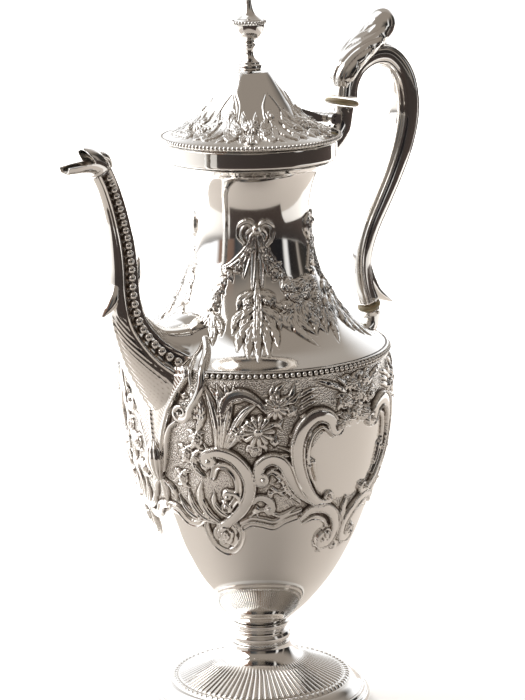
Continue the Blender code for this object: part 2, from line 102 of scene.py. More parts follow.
def calc(tree, operation, a, b=0.0, clamp=False):
    return add_node(tree, "ShaderNodeMath", {0: a, 1: b}, operation=operation, use_clamp=clamp).outputs[0]


def ramp(tree, value, stops, easing="LINEAR"):
    """A colour ramp through (position, colour) stops; a colour may be one number for grey."""
    node = add_node(tree, "ShaderNodeValToRGB", {0: value})
    node.color_ramp.interpolation = easing
    elements = node.color_ramp.elements
    while len(elements) < len(stops):
        elements.new(0.5)
    for element, (place, color) in zip(elements, stops):
        element.position = place
        element.color = (*color, 1) if isinstance(color, tuple) else (color, color, color, 1)
    return node.outputs[0]


def blend(tree, share, a, b):
    node = add_node(tree, "ShaderNodeMix", {0: share}, data_type="RGBA")
    for socket, value in ((node.inputs[6], a), (node.inputs[7], b)):
        if isinstance(value, bpy.types.NodeSocket):
            tree.links.new(value, socket)
        else:
            socket.default_value = (*value, 1)
    return node.outputs[2]


# %% The room, painted on the sky
world = bpy.data.worlds.new("gallery_room")
bpy.context.scene.world = world
world.use_nodes = True
sky = world.node_tree
sky.nodes.clear()
direction = add_node(sky, "ShaderNodeTexCoord").outputs["Generated"]
turned_direction = add_node(sky, "ShaderNodeVectorRotate", {"Vector": direction, "Angle": math.pi - FACING},
                            rotation_type="Z_AXIS").outputs[0]
parts = add_node(sky, "ShaderNodeSeparateXYZ", {0: turned_direction}).outputs
# the camera's own direction is at 0.5, the view's left below it and its right above it
around = calc(sky, "ARCTAN2", calc(sky, "MULTIPLY", parts[1], -1.0), calc(sky, "MULTIPLY", parts[0], -1.0))
around = calc(sky, "ADD", calc(sky, "DIVIDE", around, math.tau), 0.5)
steepness = calc(sky, "ARCSINE", parts[2])
height_share = calc(sky, "ADD", calc(sky, "DIVIDE", steepness, math.pi), 0.5)


def at(degrees):
    """Ramp position of a direction, in degrees from the camera's, positive to the view's right."""
    return 0.5 + degrees / 360


WINDOW = (1.25, 1.27, 1.30)
TAUPE = (0.300, 0.262, 0.225)
BACK_WALL = (0.40, 0.365, 0.33)
horizon = ramp(sky, around, [
    (at(-180), WINDOW), (at(-76), WINDOW), (at(-68), (0.30, 0.20, 0.15)), (at(-40), (0.20, 0.13, 0.10)),
    (at(-34), (0.05, 0.055, 0.06)), (at(-16), (0.10, 0.10, 0.10)), (at(-6), (0.20, 0.175, 0.15)),
    (at(16), (0.14, 0.12, 0.10)), (at(24), (0.02, 0.018, 0.018)), (at(60), (0.012, 0.012, 0.014)),
    (at(64), (0.85, 0.84, 0.82)), (at(70), (0.9, 0.9, 0.9)), (at(74), (0.02, 0.018, 0.018)),
    (at(92), (0.03, 0.026, 0.024)), (at(96), (0.38, 0.34, 0.30)), (at(103), (0.04, 0.035, 0.03)),
    (at(128), (0.03, 0.03, 0.03)), (at(140), WINDOW), (at(180), WINDOW)])
ceiling = ramp(sky, around, [
    (at(-180), BACK_WALL), (at(-158), BACK_WALL), (at(-138), WINDOW), (at(-92), WINDOW), (at(-62), TAUPE),
    (at(110), TAUPE), (at(150), BACK_WALL), (at(180), BACK_WALL)])
low = ramp(sky, around, [
    (at(-180), (1.0, 1.0, 1.0)), (at(-70), (0.9, 0.9, 0.9)), (at(-40), (0.34, 0.30, 0.27)),
    (at(20), (0.40, 0.36, 0.32)), (at(60), (0.62, 0.60, 0.58)), (at(120), (0.75, 0.74, 0.73)),
    (at(180), (1.0, 1.0, 1.0))])
up_share = ramp(sky, height_share, [(0.5 + 16 / 180, 0.0), (0.5 + 42 / 180, 1.0)], "EASE")
down_share = ramp(sky, height_share, [(0.5 - 22 / 180, 1.0), (0.5 - 12 / 180, 0.0)], "EASE")
room = blend(sky, down_share, blend(sky, up_share, horizon, ceiling), low)
background = add_node(sky, "ShaderNodeBackground", {"Color": room, "Strength": 1.0})
add_node(sky, "ShaderNodeOutputWorld", {"Surface": background.outputs[0]})
bpy.context.scene.view_settings.view_transform = "Standard"
bpy.context.scene.view_settings.look = "None"
print("room painted in", len(sky.nodes), "nodes")

# %% [markdown]
# ## Floor and lamps
# The pot stands on a plain pale floor. A big soft lamp hangs behind it and whitens the floor there; the silver doesn't
# mirror it. A second soft lamp stands on the left like a tall window, and gives the chased work its sparkle.

# %% Floor and lamps
floor_mesh = bpy.data.meshes.new("pale_floor")
SIDE = 4.0
floor_mesh.from_pydata([(-SIDE, -SIDE, 0), (SIDE, -SIDE, 0), (SIDE, SIDE, 0), (-SIDE, SIDE, 0)], [], [(0, 1, 2, 3)])
floor = bpy.data.objects.new("pale_floor", floor_mesh)
bpy.context.scene.collection.objects.link(floor)
floor_paint = bpy.data.materials.new("pale_floor")
floor_paint.use_nodes = True
floor_paint.node_tree.nodes["Principled BSDF"].inputs["Base Color"].default_value = (0.52, 0.505, 0.485, 1)
floor_paint.node_tree.nodes["Principled BSDF"].inputs["Roughness"].default_value = 0.7
floor_mesh.materials.append(floor_paint)


def add_lamp(name, place, size, watts, color):
    light = bpy.data.lights.new(name, "AREA")
    light.size = size
    light.energy = watts
    light.color = color
    lamp = bpy.data.objects.new(name, light)
    bpy.context.scene.collection.objects.link(lamp)
    lamp.location = Vector(place) * MM
    lamp.rotation_euler = (Vector((0, 0, 150)) - Vector(place)).to_track_quat("-Z", "Y").to_euler()
    return lamp


def add_backdrop_lamp(name, place, aim, size, watts):
    """A soft lamp that hangs behind the pot and whitens the floor there, out of the pot's own way."""
    lamp = add_lamp(name, place, size, watts, (1.0, 1.0, 1.0))
    lamp.rotation_euler = (Vector(aim) - Vector(place)).to_track_quat("-Z", "Y").to_euler()
    lamp.data.spread = math.radians(130)
    lamp.visible_glossy = False


behind = Vector((-toward.x, -toward.y, 0)).normalized() * 1000
add_backdrop_lamp("backdrop_lamp", behind * 2.0 - to_right * 300 + Vector((0, 0, 1500)),
                  behind * 1.7 - to_right * 250, 2.6, 150)
add_lamp("tall_window", behind * -0.35 - to_right * 1650 + Vector((0, 0, 1250)), 1.5, 17, (1.0, 1.0, 1.0))

# %% [markdown]
# Silver on show has black cloth laid round it: without something dark to mirror, polished metal looks like white
# plaster. Here the cloth lies on the floor on the camera's side. It is only there for reflections, so the camera and
# the shadows pass it by. A sheet of white paper behind on the left does the opposite for that edge, and a taupe mat
# close round the foot stands in for the tray the pot would be shown on.

# %% Dark cloth, white paper and mat
CLOTH_NEAR, CLOTH_FAR = 0.40, 3.9
CLOTH_STEP_BACK = 0.85


def lay_flat(name, ends, near, lift, color, roughness):
    """A fan of cloth or paper round the pot; ends is a list of (degrees from the camera, outer radius)."""
    sheet_points, sheet_faces = [], []
    for i, ((turned, far), inner) in enumerate(zip(ends, near)):
        a = FACING + math.radians(turned)
        sheet_points += [(r * math.cos(a), r * math.sin(a), lift) for r in (inner, far)]
        if i:
            sheet_faces.append((2 * i - 2, 2 * i - 1, 2 * i + 1, 2 * i))
    mesh = bpy.data.meshes.new(name)
    mesh.from_pydata(sheet_points, [], sheet_faces)
    flat = bpy.data.objects.new(name, mesh)
    bpy.context.scene.collection.objects.link(flat)
    paint = bpy.data.materials.new(name)
    paint.use_nodes = True
    paint.node_tree.nodes["Principled BSDF"].inputs["Base Color"].default_value = (*color, 1)
    paint.node_tree.nodes["Principled BSDF"].inputs["Roughness"].default_value = roughness
    mesh.materials.append(paint)
    flat.visible_camera = flat.visible_shadow = flat.visible_diffuse = False
    print(name, len(sheet_faces), "faces")


cloth_turns = range(-46, 135, 4)
lay_flat("dark_cloth", [(t, CLOTH_FAR) for t in cloth_turns],
         [CLOTH_NEAR + (CLOTH_STEP_BACK - CLOTH_NEAR) * min(max((t - 58) / 12, 0), 1) for t in cloth_turns],
         0.0006, (0.024, 0.016, 0.013), 0.9)
paper_turns = range(-180, -94, 5)
lay_flat("white_paper", [(t, 0.6) for t in paper_turns], [0.05] * len(paper_turns), 0.0008, (0.90, 0.90, 0.89), 0.7)
mat_turns = range(-95, 181, 5)
lay_flat("taupe_mat", [(t, 0.5) for t in mat_turns], [0.05] * len(mat_turns), 0.0004, (0.30, 0.272, 0.245), 0.6)

# %% [markdown]
# ## Silver, the dirt in its hollows, and painted shade on the beads
# Silver is polished by hand. The cloth reaches the high points and leaves a warm grey tarnish in the hollows, and that
# is what makes chased work readable. Each piece carries two numbers at every point: how deep it lies below its
# surroundings, and how much of the fine punched matting covers it. The inner faces carry a fixed darker value in place
# of the first, and on the beads it is painted shade, on each ball's inner and lower side. The material reads both.

# %% Silver materials


def make_silver(name, polish, tarnish_and_shade_scale=1.0, matting=False, scratch=0.05):
    """Silver that is mirror-bright on its high points, and brown-grey and duller in its hollows and its painted shade.
    """
    material = bpy.data.materials.new(name)
    material.use_nodes = True
    tree = material.node_tree
    shader = tree.nodes["Principled BSDF"]
    shader.inputs["Metallic"].default_value = 1.0
    place = add_node(tree, "ShaderNodeTexCoord").outputs["Object"]
    hollow = add_node(tree, "ShaderNodeAttribute", attribute_name="hollow").outputs["Fac"]
    cloudy = add_node(tree, "ShaderNodeTexNoise", {"Vector": place, "Scale": 90.0, "Detail": 4.0, "Roughness": 0.6})
    smear = calc(tree, "MULTIPLY", calc(tree, "SUBTRACT", cloudy.outputs[0], 0.5), 0.5)
    # the hollow value gives tarnish in the hollows; on the beads it is painted shade, darkened the same way
    tarnish_and_shade = calc(tree, "MULTIPLY", calc(tree, "ADD", hollow, calc(tree, "MULTIPLY", smear, hollow)), tarnish_and_shade_scale, clamp=True)
    color = ramp(tree, tarnish_and_shade, [(0.0, (0.91, 0.89, 0.86)), (0.3, (0.85, 0.82, 0.78)), (0.65, (0.50, 0.45, 0.395)),
                              (1.0, (0.13, 0.10, 0.08))])
    tree.links.new(color, shader.inputs["Base Color"])
    dull = ramp(tree, tarnish_and_shade, [(0.0, polish), (0.5, polish + 0.08), (1.0, 0.42)])
    veil = calc(tree, "MULTIPLY", calc(tree, "ABSOLUTE", smear), 0.10)
    rough = calc(tree, "ADD", dull, veil)
    swirl = add_node(tree, "ShaderNodeTexNoise", {"Vector": place, "Scale": 34.0, "Detail": 2.0, "Distortion": 0.4})
    bump = add_node(tree, "ShaderNodeBump", {"Strength": scratch, "Distance": 0.0004, "Height": swirl.outputs[0]})
    normal = bump.outputs[0]
    if matting:
        mat = add_node(tree, "ShaderNodeAttribute", attribute_name="matting").outputs["Fac"]
        punch = add_node(tree, "ShaderNodeTexVoronoi", {"Vector": place, "Scale": 1500.0}, feature="F1")
        pits = add_node(tree, "ShaderNodeBump", {"Strength": calc(tree, "MULTIPLY", mat, 0.85), "Distance": 0.0004,
                                                 "Height": punch.outputs["Distance"], "Normal": normal})
        normal = pits.outputs[0]
        rough = calc(tree, "ADD", rough, calc(tree, "MULTIPLY", mat, 0.07))
    tree.links.new(rough, shader.inputs["Roughness"])
    tree.links.new(normal, shader.inputs["Normal"])
    return material


CHASED = make_silver("chased_silver", 0.075, matting=True)
POLISHED = make_silver("polished_silver", 0.05)
# the beads' hollow value is painted shade, so the stronger setting here deepens that painted shade
BEADED = make_silver("beaded_silver", 0.10, tarnish_and_shade_scale=1.15)
print("materials:", CHASED.name, POLISHED.name, BEADED.name)

# %% [markdown]
# ## Lines and skins
# Two helpers do most of the work. One draws a smooth line through a few measured points. The other makes a mesh from a
# grid of points, as a net is stretched over a form.

# %% Helpers for lines and nets


def smooth_line(points, steps=12):
    """A Catmull-Rom line through points."""
    p = np.array(points, float)
    p = np.vstack([2 * p[0] - p[1], p, 2 * p[-1] - p[-2]])
    t = np.linspace(0, 1, steps, endpoint=False)[:, None]
    spans = [0.5 * (2 * b + (c - a) * t + (2 * a - 5 * b + 4 * c - d) * t**2 + (3 * b - a - 3 * c + d) * t**3)
             for a, b, c, d in zip(p, p[1:], p[2:], p[3:])]
    return np.vstack([*spans, p[-2:-1]])


def lengths(line, dims=2):
    """Distance along a line at each of its points."""
    return np.concatenate([[0], np.cumsum(np.linalg.norm(np.diff(line[:, :dims], axis=0), axis=1))])


def evenly(line, step, dims=2):
    """The same line with points at an even spacing."""
    run = lengths(line, dims)
    count = max(int(round(run[-1] / step)), 2)
    wanted = np.linspace(0, run[-1], count + 1)
    return np.stack([np.interp(wanted, run, line[:, k]) for k in range(line.shape[1])], axis=1)


def blurred(field, across, around):
    """A field smoothed by Gaussian weights, in cells; its columns run all the way round."""
    for axis, width in ((0, across), (1, around)):
        reach = max(int(3 * width), 1)
        weights = np.exp(-0.5 * (np.arange(-reach, reach + 1) / width) ** 2)
        weights /= weights.sum()
        pad = [(0, 0), (0, 0)]
        pad[axis] = (reach, reach)
        wide = np.pad(field, pad, mode="wrap" if axis else "edge")
        field = sum(w * wide.take(range(k, k + field.shape[axis]), axis) for k, w in enumerate(weights))
    return field


def make_net(name, grid, body, material, around=True, loop=False, hollow=None, matting=None, caps=(False, False)):
    """A smooth mesh over a grid of points in mm; columns close round, and rows do too in a loop."""
    rows, columns = grid.shape[:2]
    index = np.arange(rows * columns).reshape(rows, columns)
    if around:
        index = np.hstack([index, index[:, :1]])
    if loop:
        index = np.vstack([index, index[:1]])
    faces = np.stack([index[:-1, :-1], index[1:, :-1], index[1:, 1:], index[:-1, 1:]], -1).reshape(-1, 4)
    mesh = bpy.data.meshes.new(name)
    polygons = faces.tolist()
    if caps[0]:
        polygons.append(index[0, :columns].tolist())
    if caps[1]:
        polygons.append(index[-1, :columns][::-1].tolist())
    mesh.from_pydata((grid.reshape(-1, 3) * MM).tolist(), [], polygons)
    for label, values in (("hollow", hollow), ("matting", matting)):
        layer = mesh.attributes.new(label, "FLOAT", "POINT")
        if values is not None:
            layer.data.foreach_set("value", np.ascontiguousarray(values, np.float32).ravel())
    mesh.shade_smooth()
    return place_piece(name, mesh, body, material)


def place_piece(name, mesh, body, material):
    mesh.materials.append(material)
    piece = bpy.data.objects.new(name, mesh)
    bpy.context.scene.collection.objects.link(piece)
    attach(piece, body)
    print(name, len(mesh.vertices), "points")
    return piece


def outward(profile):
    """Unit directions (radius, height) that stand off a profile that runs down its outer side."""
    slope = np.gradient(profile[:, :2], axis=0)
    normal = np.stack([-slope[:, 1], slope[:, 0]], 1)
    return normal / np.linalg.norm(normal, axis=1, keepdims=True)


def turn_profile(profile, lift, columns):
    """Points of a profile turned about Z, each row pushed out by its lift; column 0 is at +X."""
    normal = outward(profile)
    angle = np.linspace(0, math.tau, columns, endpoint=False)
    lift = np.broadcast_to(lift, (len(profile), columns))
    radius = profile[:, :1] + normal[:, :1] * lift
    height = profile[:, 1:2] + normal[:, 1:2] * lift
    return np.stack([radius * np.cos(angle), radius * np.sin(angle), height], -1)


def turned_piece(name, points, body, material, columns=192, step=0.35, straight=False, hollow=None):
    """A small turned piece from a profile that ends on the axis or closes on itself."""
    line = np.array(points, float) if straight else smooth_line(points, 10)
    profile = evenly(line, step)
    grid = turn_profile(profile, 0.0, columns)
    depth = None
    if hollow is not None:
        curve = blurred(profile[:, :1], 1.2 / step, 1)[:, 0] - profile[:, 0]
        depth = np.repeat(np.clip(curve / hollow, 0, 1)[:, None], columns, 1)
    caps = (profile[0, 0] < 0.5, profile[-1, 0] < 0.5)
    return make_net(name, grid, body, material, hollow=depth, caps=caps)


# %% [markdown]
# ## Foot
# The foot is a spun dome with about eighty flutes chased round its slope, a notched wire where the flutes end, and a
# heavy plain rim that takes the knocks. The flutes are a wave in the lift of the surface, strongest in the middle.

# %% Foot
FLUTES = 84
foot_line = evenly(smooth_line([(12.4, 28.3), (13.2, 25.4), (16.6, 22.0), (22.4, 18.9), (29.0, 16.1), (35.4, 13.6),
                                (38.6, 12.2), (41.0, 10.0), (42.6, 8.6)], 16), 0.3)
columns = FLUTES * 12
angle = np.linspace(0, math.tau, columns, endpoint=False)
zone = np.clip((foot_line[:, 0] - 17) / 4, 0, 1) * np.clip((35.0 - foot_line[:, 0]) / 1.2, 0, 1)
wave = np.abs(np.cos(angle * FLUTES / 2))
lift = zone[:, None] * (0.55 * wave**0.7 - 0.25)
notch = np.exp(-(((foot_line[:, 0] - 36.2) / 0.75) ** 2))
lift = lift + notch[:, None] * (0.55 + 0.25 * np.sign(np.cos(angle * FLUTES)))
ring = np.exp(-(((foot_line[:, 0] - 37.6) / 0.3) ** 2)) + np.exp(-(((foot_line[:, 0] - 34.7) / 0.3) ** 2))
lift = lift - 0.2 * ring[:, None]
depth = np.clip((0.05 - lift) / 0.35, 0, 1) * (zone + 0.6 * notch)[:, None] + 0.5 * ring[:, None]
outer = turn_profile(foot_line, lift, columns)
inner_line = evenly(np.array([(40.4, 7.2), (38.1, 9.6), (34.5, 11.9), (27.7, 14.7), (21.1, 17.5), (15.3, 20.6),
                              (11.9, 24.0), (9.8, 28.3)]), 2.0)
inner = turn_profile(inner_line, 0.0, columns)
foot = make_net("foot_dome_fluted", np.vstack([outer, inner]), "pot", POLISHED, loop=True,
                hollow=np.vstack([np.clip(depth, 0, 1), np.full(inner.shape[:2], 0.6)]))
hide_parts("foot_dome", "foot_notched_wire")
rim_points = [(42.2, 8.7), (43.2, 8.3), (43.6, 7.3), (44.5, 7.0), (44.8, 6.4), (45.2, 6.1), (45.65, 5.0), (45.7, 3.2),
              (45.5, 1.2), (45.2, 0.0), (42.4, 0.0), (42.3, 4.6), (41.9, 7.4), (42.2, 8.7)]
rim = make_net("foot_rim_turned", turn_profile(evenly(np.array(rim_points), 0.25)[:-1], 0.0, 256), "pot", POLISHED,
               loop=True)
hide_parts("foot_rim_wire")
collar_points = [(8.4, 37.9), (10.4, 37.9), (11.6, 37.8), (12.4, 37.0), (12.4, 36.3), (11.6, 35.7), (11.1, 35.2),
                 (11.3, 34.7), (11.1, 34.3), (10.8, 33.9), (11.2, 33.5), (12.2, 32.8), (12.8, 31.6), (12.8, 30.6),
                 (12.3, 29.7), (11.6, 29.2), (12.0, 28.7), (8.4, 28.6), (8.4, 37.9)]
collar = make_net("stem_collar_turned", turn_profile(evenly(np.array(collar_points), 0.2)[:-1], 0.0, 160), "pot",
                  POLISHED, loop=True)
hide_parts("stem_collar")

# %% [markdown]
# ## Chasing
# The chased skins are painted as heights on a rolled-out sheet, in millimetres, and the sheet is then wrapped round
# its turned form. A stroke is a line with a width: every point near the line rises by an amount that depends on how
# far across the stroke it lies. Scrolls, leaves, ribbons and ribs are all strokes with different sections.

# %% The sheet and its strokes
ROLL_RADIUS = 53.0  # the cup's mean radius, which turns mm on the sheet into an angle


class Sheet:
    """A turned skin rolled out flat. x runs round it in mm, to the right as seen from outside; y is set per sheet."""

    def __init__(self, profile, y, columns):
        self.profile, self.y, self.columns = profile, y, columns
        self.angle = np.linspace(0, math.tau, columns, endpoint=False)
        self.lift = np.zeros((len(profile), columns))
        self.cover = np.zeros_like(self.lift)
        self.place(math.pi, radius=None)

    def place(self, middle, flip=1, shift=0.0, radius=ROLL_RADIUS):
        """Chooses where x = 0 lies, whether x is mirrored, and what radius turns angle into mm (None: the skin's)."""
        turn = (self.angle - middle + math.pi) % math.tau - math.pi
        span = self.profile[:, :1] if radius is None else np.full((len(self.profile), 1), radius)
        self.x = flip * turn[None, :] * span + shift

    def window(self, low, high):
        """The cells inside a box of x and y, as row and column indexes with their x and y."""
        rows = np.nonzero((self.y > low[1]) & (self.y < high[1]))[0]
        if not len(rows):
            return None
        inside = (self.x[rows] > low[0]) & (self.x[rows] < high[0])
        cols = np.nonzero(inside.any(axis=0))[0]
        if not len(cols):
            return None
        cells = np.ix_(rows, cols)
        return cells, self.x[cells], np.broadcast_to(self.y[rows][:, None], (len(rows), len(cols)))

    def raise_to(self, cells, height, cover=None, add=0.0):
        """Lifts cells to a height where they are lower; add keeps part of what lies below."""
        on = height > 0
        self.lift[cells] = np.where(on, np.maximum(self.lift[cells], height + add * self.lift[cells]),
                                    self.lift[cells])
        self.cover[cells] = np.maximum(self.cover[cells], on if cover is None else cover)

    def stroke(self, path, width, height, section="round", step=0.7, add=0.0, outline=0.12):
        """Draws a line of some width; width and height are numbers, or lists spread along it."""
        line = evenly(np.array(path, float), step)
        most = np.max(width)
        found = self.window(line.min(0) - most - 1, line.max(0) + most + 1)
        if found is None:
            return
        cells, x, y = found
        best = np.full(x.shape, 1e9)
        side = np.zeros_like(best)
        share = np.zeros_like(best)
        for k, (p, q) in enumerate(zip(line, line[1:])):
            d = q - p
            t = np.clip(((x - p[0]) * d[0] + (y - p[1]) * d[1]) / max(d @ d, 1e-9), 0, 1)
            ex, ey = x - p[0] - t * d[0], y - p[1] - t * d[1]
            far = ex**2 + ey**2
            near = far < best
            best = np.where(near, far, best)
            side = np.where(near, np.sign(d[0] * ey - d[1] * ex), side)
            share = np.where(near, (k + t) / (len(line) - 1), share)
        spread = np.linspace(0, 1, np.size(width))
        half = np.interp(share, spread, np.atleast_1d(width))
        tall = np.interp(share, np.linspace(0, 1, np.size(height)), np.atleast_1d(height))
        across = np.sqrt(best)
        ratio = across / np.maximum(half, 1e-3)
        run = share * lengths(line)[-1]
        form = SECTIONS[section](ratio, ratio * side, run, across, half)
        inside = ratio < 1
        self.raise_to(cells, np.where(inside, tall * form, 0), inside.astype(float), add)
        if outline:
            edge = np.exp(-(((across - half - 0.18) / 0.2) ** 2)) * outline
            self.lift[cells] -= np.where(self.cover[cells] < 0.5, edge, 0)


def ridge(distance, width):
    return np.exp(-((distance / width) ** 2))


def section_round(a, q, run, across, half):
    return np.sqrt(np.clip(1 - a**2, 0, 1))


def section_band(a, q, run, across, half):
    """A broad flat ribbon with a rolled line along each edge."""
    flat = 0.66 + 0.10 * (1 - a**2) - 0.20 * ridge(a - 0.74, 0.05)
    roll = 0.72 + 0.28 * np.sqrt(np.clip(1 - ((a - 0.89) / 0.11) ** 2, 0, 1))
    return np.where(a > 0.78, roll, flat) * np.clip((1 - a) / 0.06, 0, 1) ** 0.5


def section_hollow(a, q, run, across, half):
    """A gutter between two rolled edges."""
    return np.clip((0.45 + 0.75 * a**2) * np.clip((1 - a) / 0.16, 0, 1) ** 0.5, 0, 1)


def section_leaf(a, q, run, across, half):
    """A leaf with a notched edge, long flutes, a midrib and faint veins."""
    notch = np.abs(np.sin(math.pi * (run - 1.2 * across) / 3.6)) ** 0.6
    body = np.sqrt(np.clip(1 - (a / (0.72 + 0.28 * notch)) ** 2, 0, 1))
    flutes = 0.58 + 0.42 * np.abs(np.cos(q * math.pi * 1.5))
    veins = 0.90 + 0.10 * notch
    return np.clip(body * flutes * veins - 0.34 * ridge(across, 0.2), 0, 1)


def section_plume(a, q, run, across, half):
    """A feathery frond: long strands side by side, with a soft lobe here and there."""
    lobe = 0.86 + 0.14 * np.abs(np.sin(math.pi * (run - 0.5 * across) / 4.6))
    return np.sqrt(np.clip(1 - (a / lobe) ** 2, 0, 1)) * (0.60 + 0.40 * np.abs(np.cos(q * math.pi * 1.5)))


def section_ribs(a, q, run, across, half):
    """A fringe of close ribs along its length."""
    comb = np.abs(np.sin(q * math.pi * 2.5))
    return np.sqrt(np.clip(1 - a**2, 0, 1)) * (0.45 + 0.55 * comb)


SECTIONS = {"round": section_round, "band": section_band, "hollow": section_hollow, "leaf": section_leaf,
            "plume": section_plume, "ribs": section_ribs}

# %% [markdown]
# ## Motifs
# A silversmith's pattern book is short: the daisy, the rose, the curled end of a scroll, the leaf. Each is a small
# function here, and the pot is covered with them.

# %% Flowers and curls


def daisy(sheet, x0, y0, radius, height=1.3, petals=12, turn=0.3):
    """A round flower with separate petals and a dotted button in the middle."""
    found = sheet.window((x0 - radius - 1, y0 - radius - 1), (x0 + radius + 1, y0 + radius + 1))
    if found is None:
        return
    cells, x, y = found
    away = np.hypot(x - x0, y - y0) / radius
    around_it = np.arctan2(y - y0, x - x0) * petals / 2 + turn
    petal = np.abs(np.cos(around_it)) ** 0.8
    limit = 0.72 + 0.28 * petal
    form = np.sqrt(np.clip(1 - (away / limit) ** 2, 0, 1)) ** 0.6 * (0.35 + 0.5 * petal)
    form = form - 0.14 * np.exp(-((np.abs(np.cos(around_it)) - 1) ** 2) / 0.002)
    button = np.sqrt(np.clip(1 - (away / 0.32) ** 2, 0, 1))
    dots = 0.12 * np.sin(x * 7.5) * np.sin(y * 7.5)
    form = np.maximum(form * np.clip(away / 0.3, 0, 1), button * (0.95 + dots))
    sheet.raise_to(cells, np.where(away < limit, height * np.clip(form, 0.02, 2), 0), add=0.35)
    edge = np.exp(-(((away - limit) * radius - 0.15) / 0.2) ** 2) * 0.15
    sheet.lift[cells] -= np.where(sheet.cover[cells] < 0.5, edge, 0)


def rose(sheet, x0, y0, radius, height=1.5, turn=0.0):
    """A full flower of three rings of overlapping petals."""
    found = sheet.window((x0 - radius - 1, y0 - radius - 1), (x0 + radius + 1, y0 + radius + 1))
    if found is None:
        return
    cells, x, y = found
    away = np.hypot(x - x0, y - y0) / radius
    swing = np.arctan2(y - y0, x - x0)
    form = np.zeros_like(away)
    for k, (size, base) in enumerate(((1.0, 0.15), (0.66, 0.45), (0.34, 0.72))):
        lobes = np.abs(np.sin((swing * 5 + turn + k * 1.7) / 2)) ** 0.6
        limit = size * (0.80 + 0.20 * lobes)
        cup = base + 0.28 * np.clip(away / limit, 0, 1) ** 2 * (0.5 + 0.5 * lobes)
        form = np.where(away < limit, cup, form)
    form = np.where(away < 0.12, 0.95, form)
    sheet.raise_to(cells, height * form, add=0.3)


def button(sheet, x0, y0, radius, height, tall=1.0):
    """A plain round or oval boss."""
    reach = radius * max(tall, 1) + 0.5
    found = sheet.window((x0 - reach, y0 - reach), (x0 + reach, y0 + reach))
    if found is None:
        return
    cells, x, y = found
    away = np.hypot(x - x0, (y - y0) / tall) / radius
    sheet.raise_to(cells, height * np.sqrt(np.clip(1 - away**2, 0, 1)), add=0.3)


def curl(start, heading, radius, hand, turns=1.3, tight=0.28, step=0.5):
    """Points of a spiral that leaves a point on a heading in degrees; hand 1 turns left and -1 right."""
    points = [np.array(start, float)]
    way = math.radians(heading)
    total = 0.0
    while total < turns * math.tau and len(points) < 200:
        now = radius * (1 - (1 - tight) * total / (turns * math.tau))
        bend = step / now
        way += hand * bend
        total += bend
        points.append(points[-1] + step * np.array([math.cos(way), math.sin(way)]))
    return np.array(points)


def scroll(sheet, points, width, height, first=None, last=None, section="band"):
    """A C-scroll through points; first and last give each end's curl as (radius, hand)."""
    line = smooth_line(points, 8)
    if last:
        way = math.degrees(math.atan2(*(line[-1] - line[-2])[::-1]))
        line = np.vstack([line, curl(line[-1], way, last[0], last[1])[1:]])
    if first:
        way = math.degrees(math.atan2(*(line[0] - line[1])[::-1]))
        line = np.vstack([curl(line[0], way, first[0], first[1])[:0:-1], line])
    sheet.stroke(line, width, height, section)
    for end, wanted in ((line[0], first), (line[-1], last)):
        if wanted:
            button(sheet, end[0], end[1], 1.0, np.max(height) * 1.15)


def leaf(sheet, points, width, height=1.0, add=0.3):
    """A single leaf along a short line, narrow at both ends."""
    sheet.stroke(smooth_line(points, 6), [0.3 * width, 0.8 * width, width, 0.95 * width, 0.6 * width, 0.08 * width],
                 [0.6 * height, 0.9 * height, height, 0.9 * height, 0.7 * height, 0.25 * height], "leaf", add=add)


def plume(sheet, root, tips, width, height=1.0, bend=0.25):
    """Leaves that spring from one root to several tips, each bowed to one side."""
    root = np.array(root, float)
    for k, tip in enumerate(tips):
        tip = np.array(tip, float)
        run = tip - root
        side = np.array([-run[1], run[0]]) * bend * (1 if k % 2 else -1)
        leaf(sheet, [root, root + run * 0.5 + side, tip], width, height)


print("sections:", ", ".join(SECTIONS))

# %% [markdown]
# ## Bead wires
# The seams of the pot are covered by beaded wire: a row of little balls struck in a strip of silver. The balls are
# real spheres here, joined in one mesh, on a thin wire that runs behind them.

# %% Bead helper


def ball_points(rings=7, sides=10):
    """Points and faces of a ball of radius 1, its poles along Z."""
    points = [(0, 0, 1.0)]
    for i in range(1, rings):
        a = math.pi * i / rings
        points += [(math.sin(a) * math.cos(math.tau * k / sides), math.sin(a) * math.sin(math.tau * k / sides),
                    math.cos(a)) for k in range(sides)]
    points.append((0, 0, -1.0))
    faces = [(0, 1 + k, 1 + (k + 1) % sides) for k in range(sides)]
    for i in range(rings - 2):
        a = 1 + i * sides
        faces += [(a + k, a + sides + k, a + sides + (k + 1) % sides, a + (k + 1) % sides) for k in range(sides)]
    last = 1 + (rings - 2) * sides
    faces += [(last + k, len(points) - 1, last + (k + 1) % sides) for k in range(sides)]
    return np.array(points), faces


def bead_row(name, centers, radii, body, out):
    """Balls along a line as one mesh; out is the direction each one stands up in, and the side away from it is given
    painted shade.
    """
    ball, faces = ball_points()
    points, polygons, shade = [], [], []
    for center, radius, up in zip(centers, np.broadcast_to(radii, len(centers)), out):
        base = len(points) * len(ball)
        points.append(center + ball * radius)
        # painted shade: each ball is darkened on the side turned away from out, through its hollow value
        facing = ball @ (up / np.linalg.norm(up))
        shade.append(np.clip(0.55 - facing, 0, 1))
        polygons += [tuple(base + v for v in face) for face in faces]
    mesh = bpy.data.meshes.new(name)
    mesh.from_pydata((np.vstack(points) * MM).tolist(), [], polygons)
    layer = mesh.attributes.new("hollow", "FLOAT", "POINT")
    layer.data.foreach_set("value", np.concatenate(shade).astype(np.float32))
    mesh.shade_smooth()
    return place_piece(name, mesh, body, BEADED)


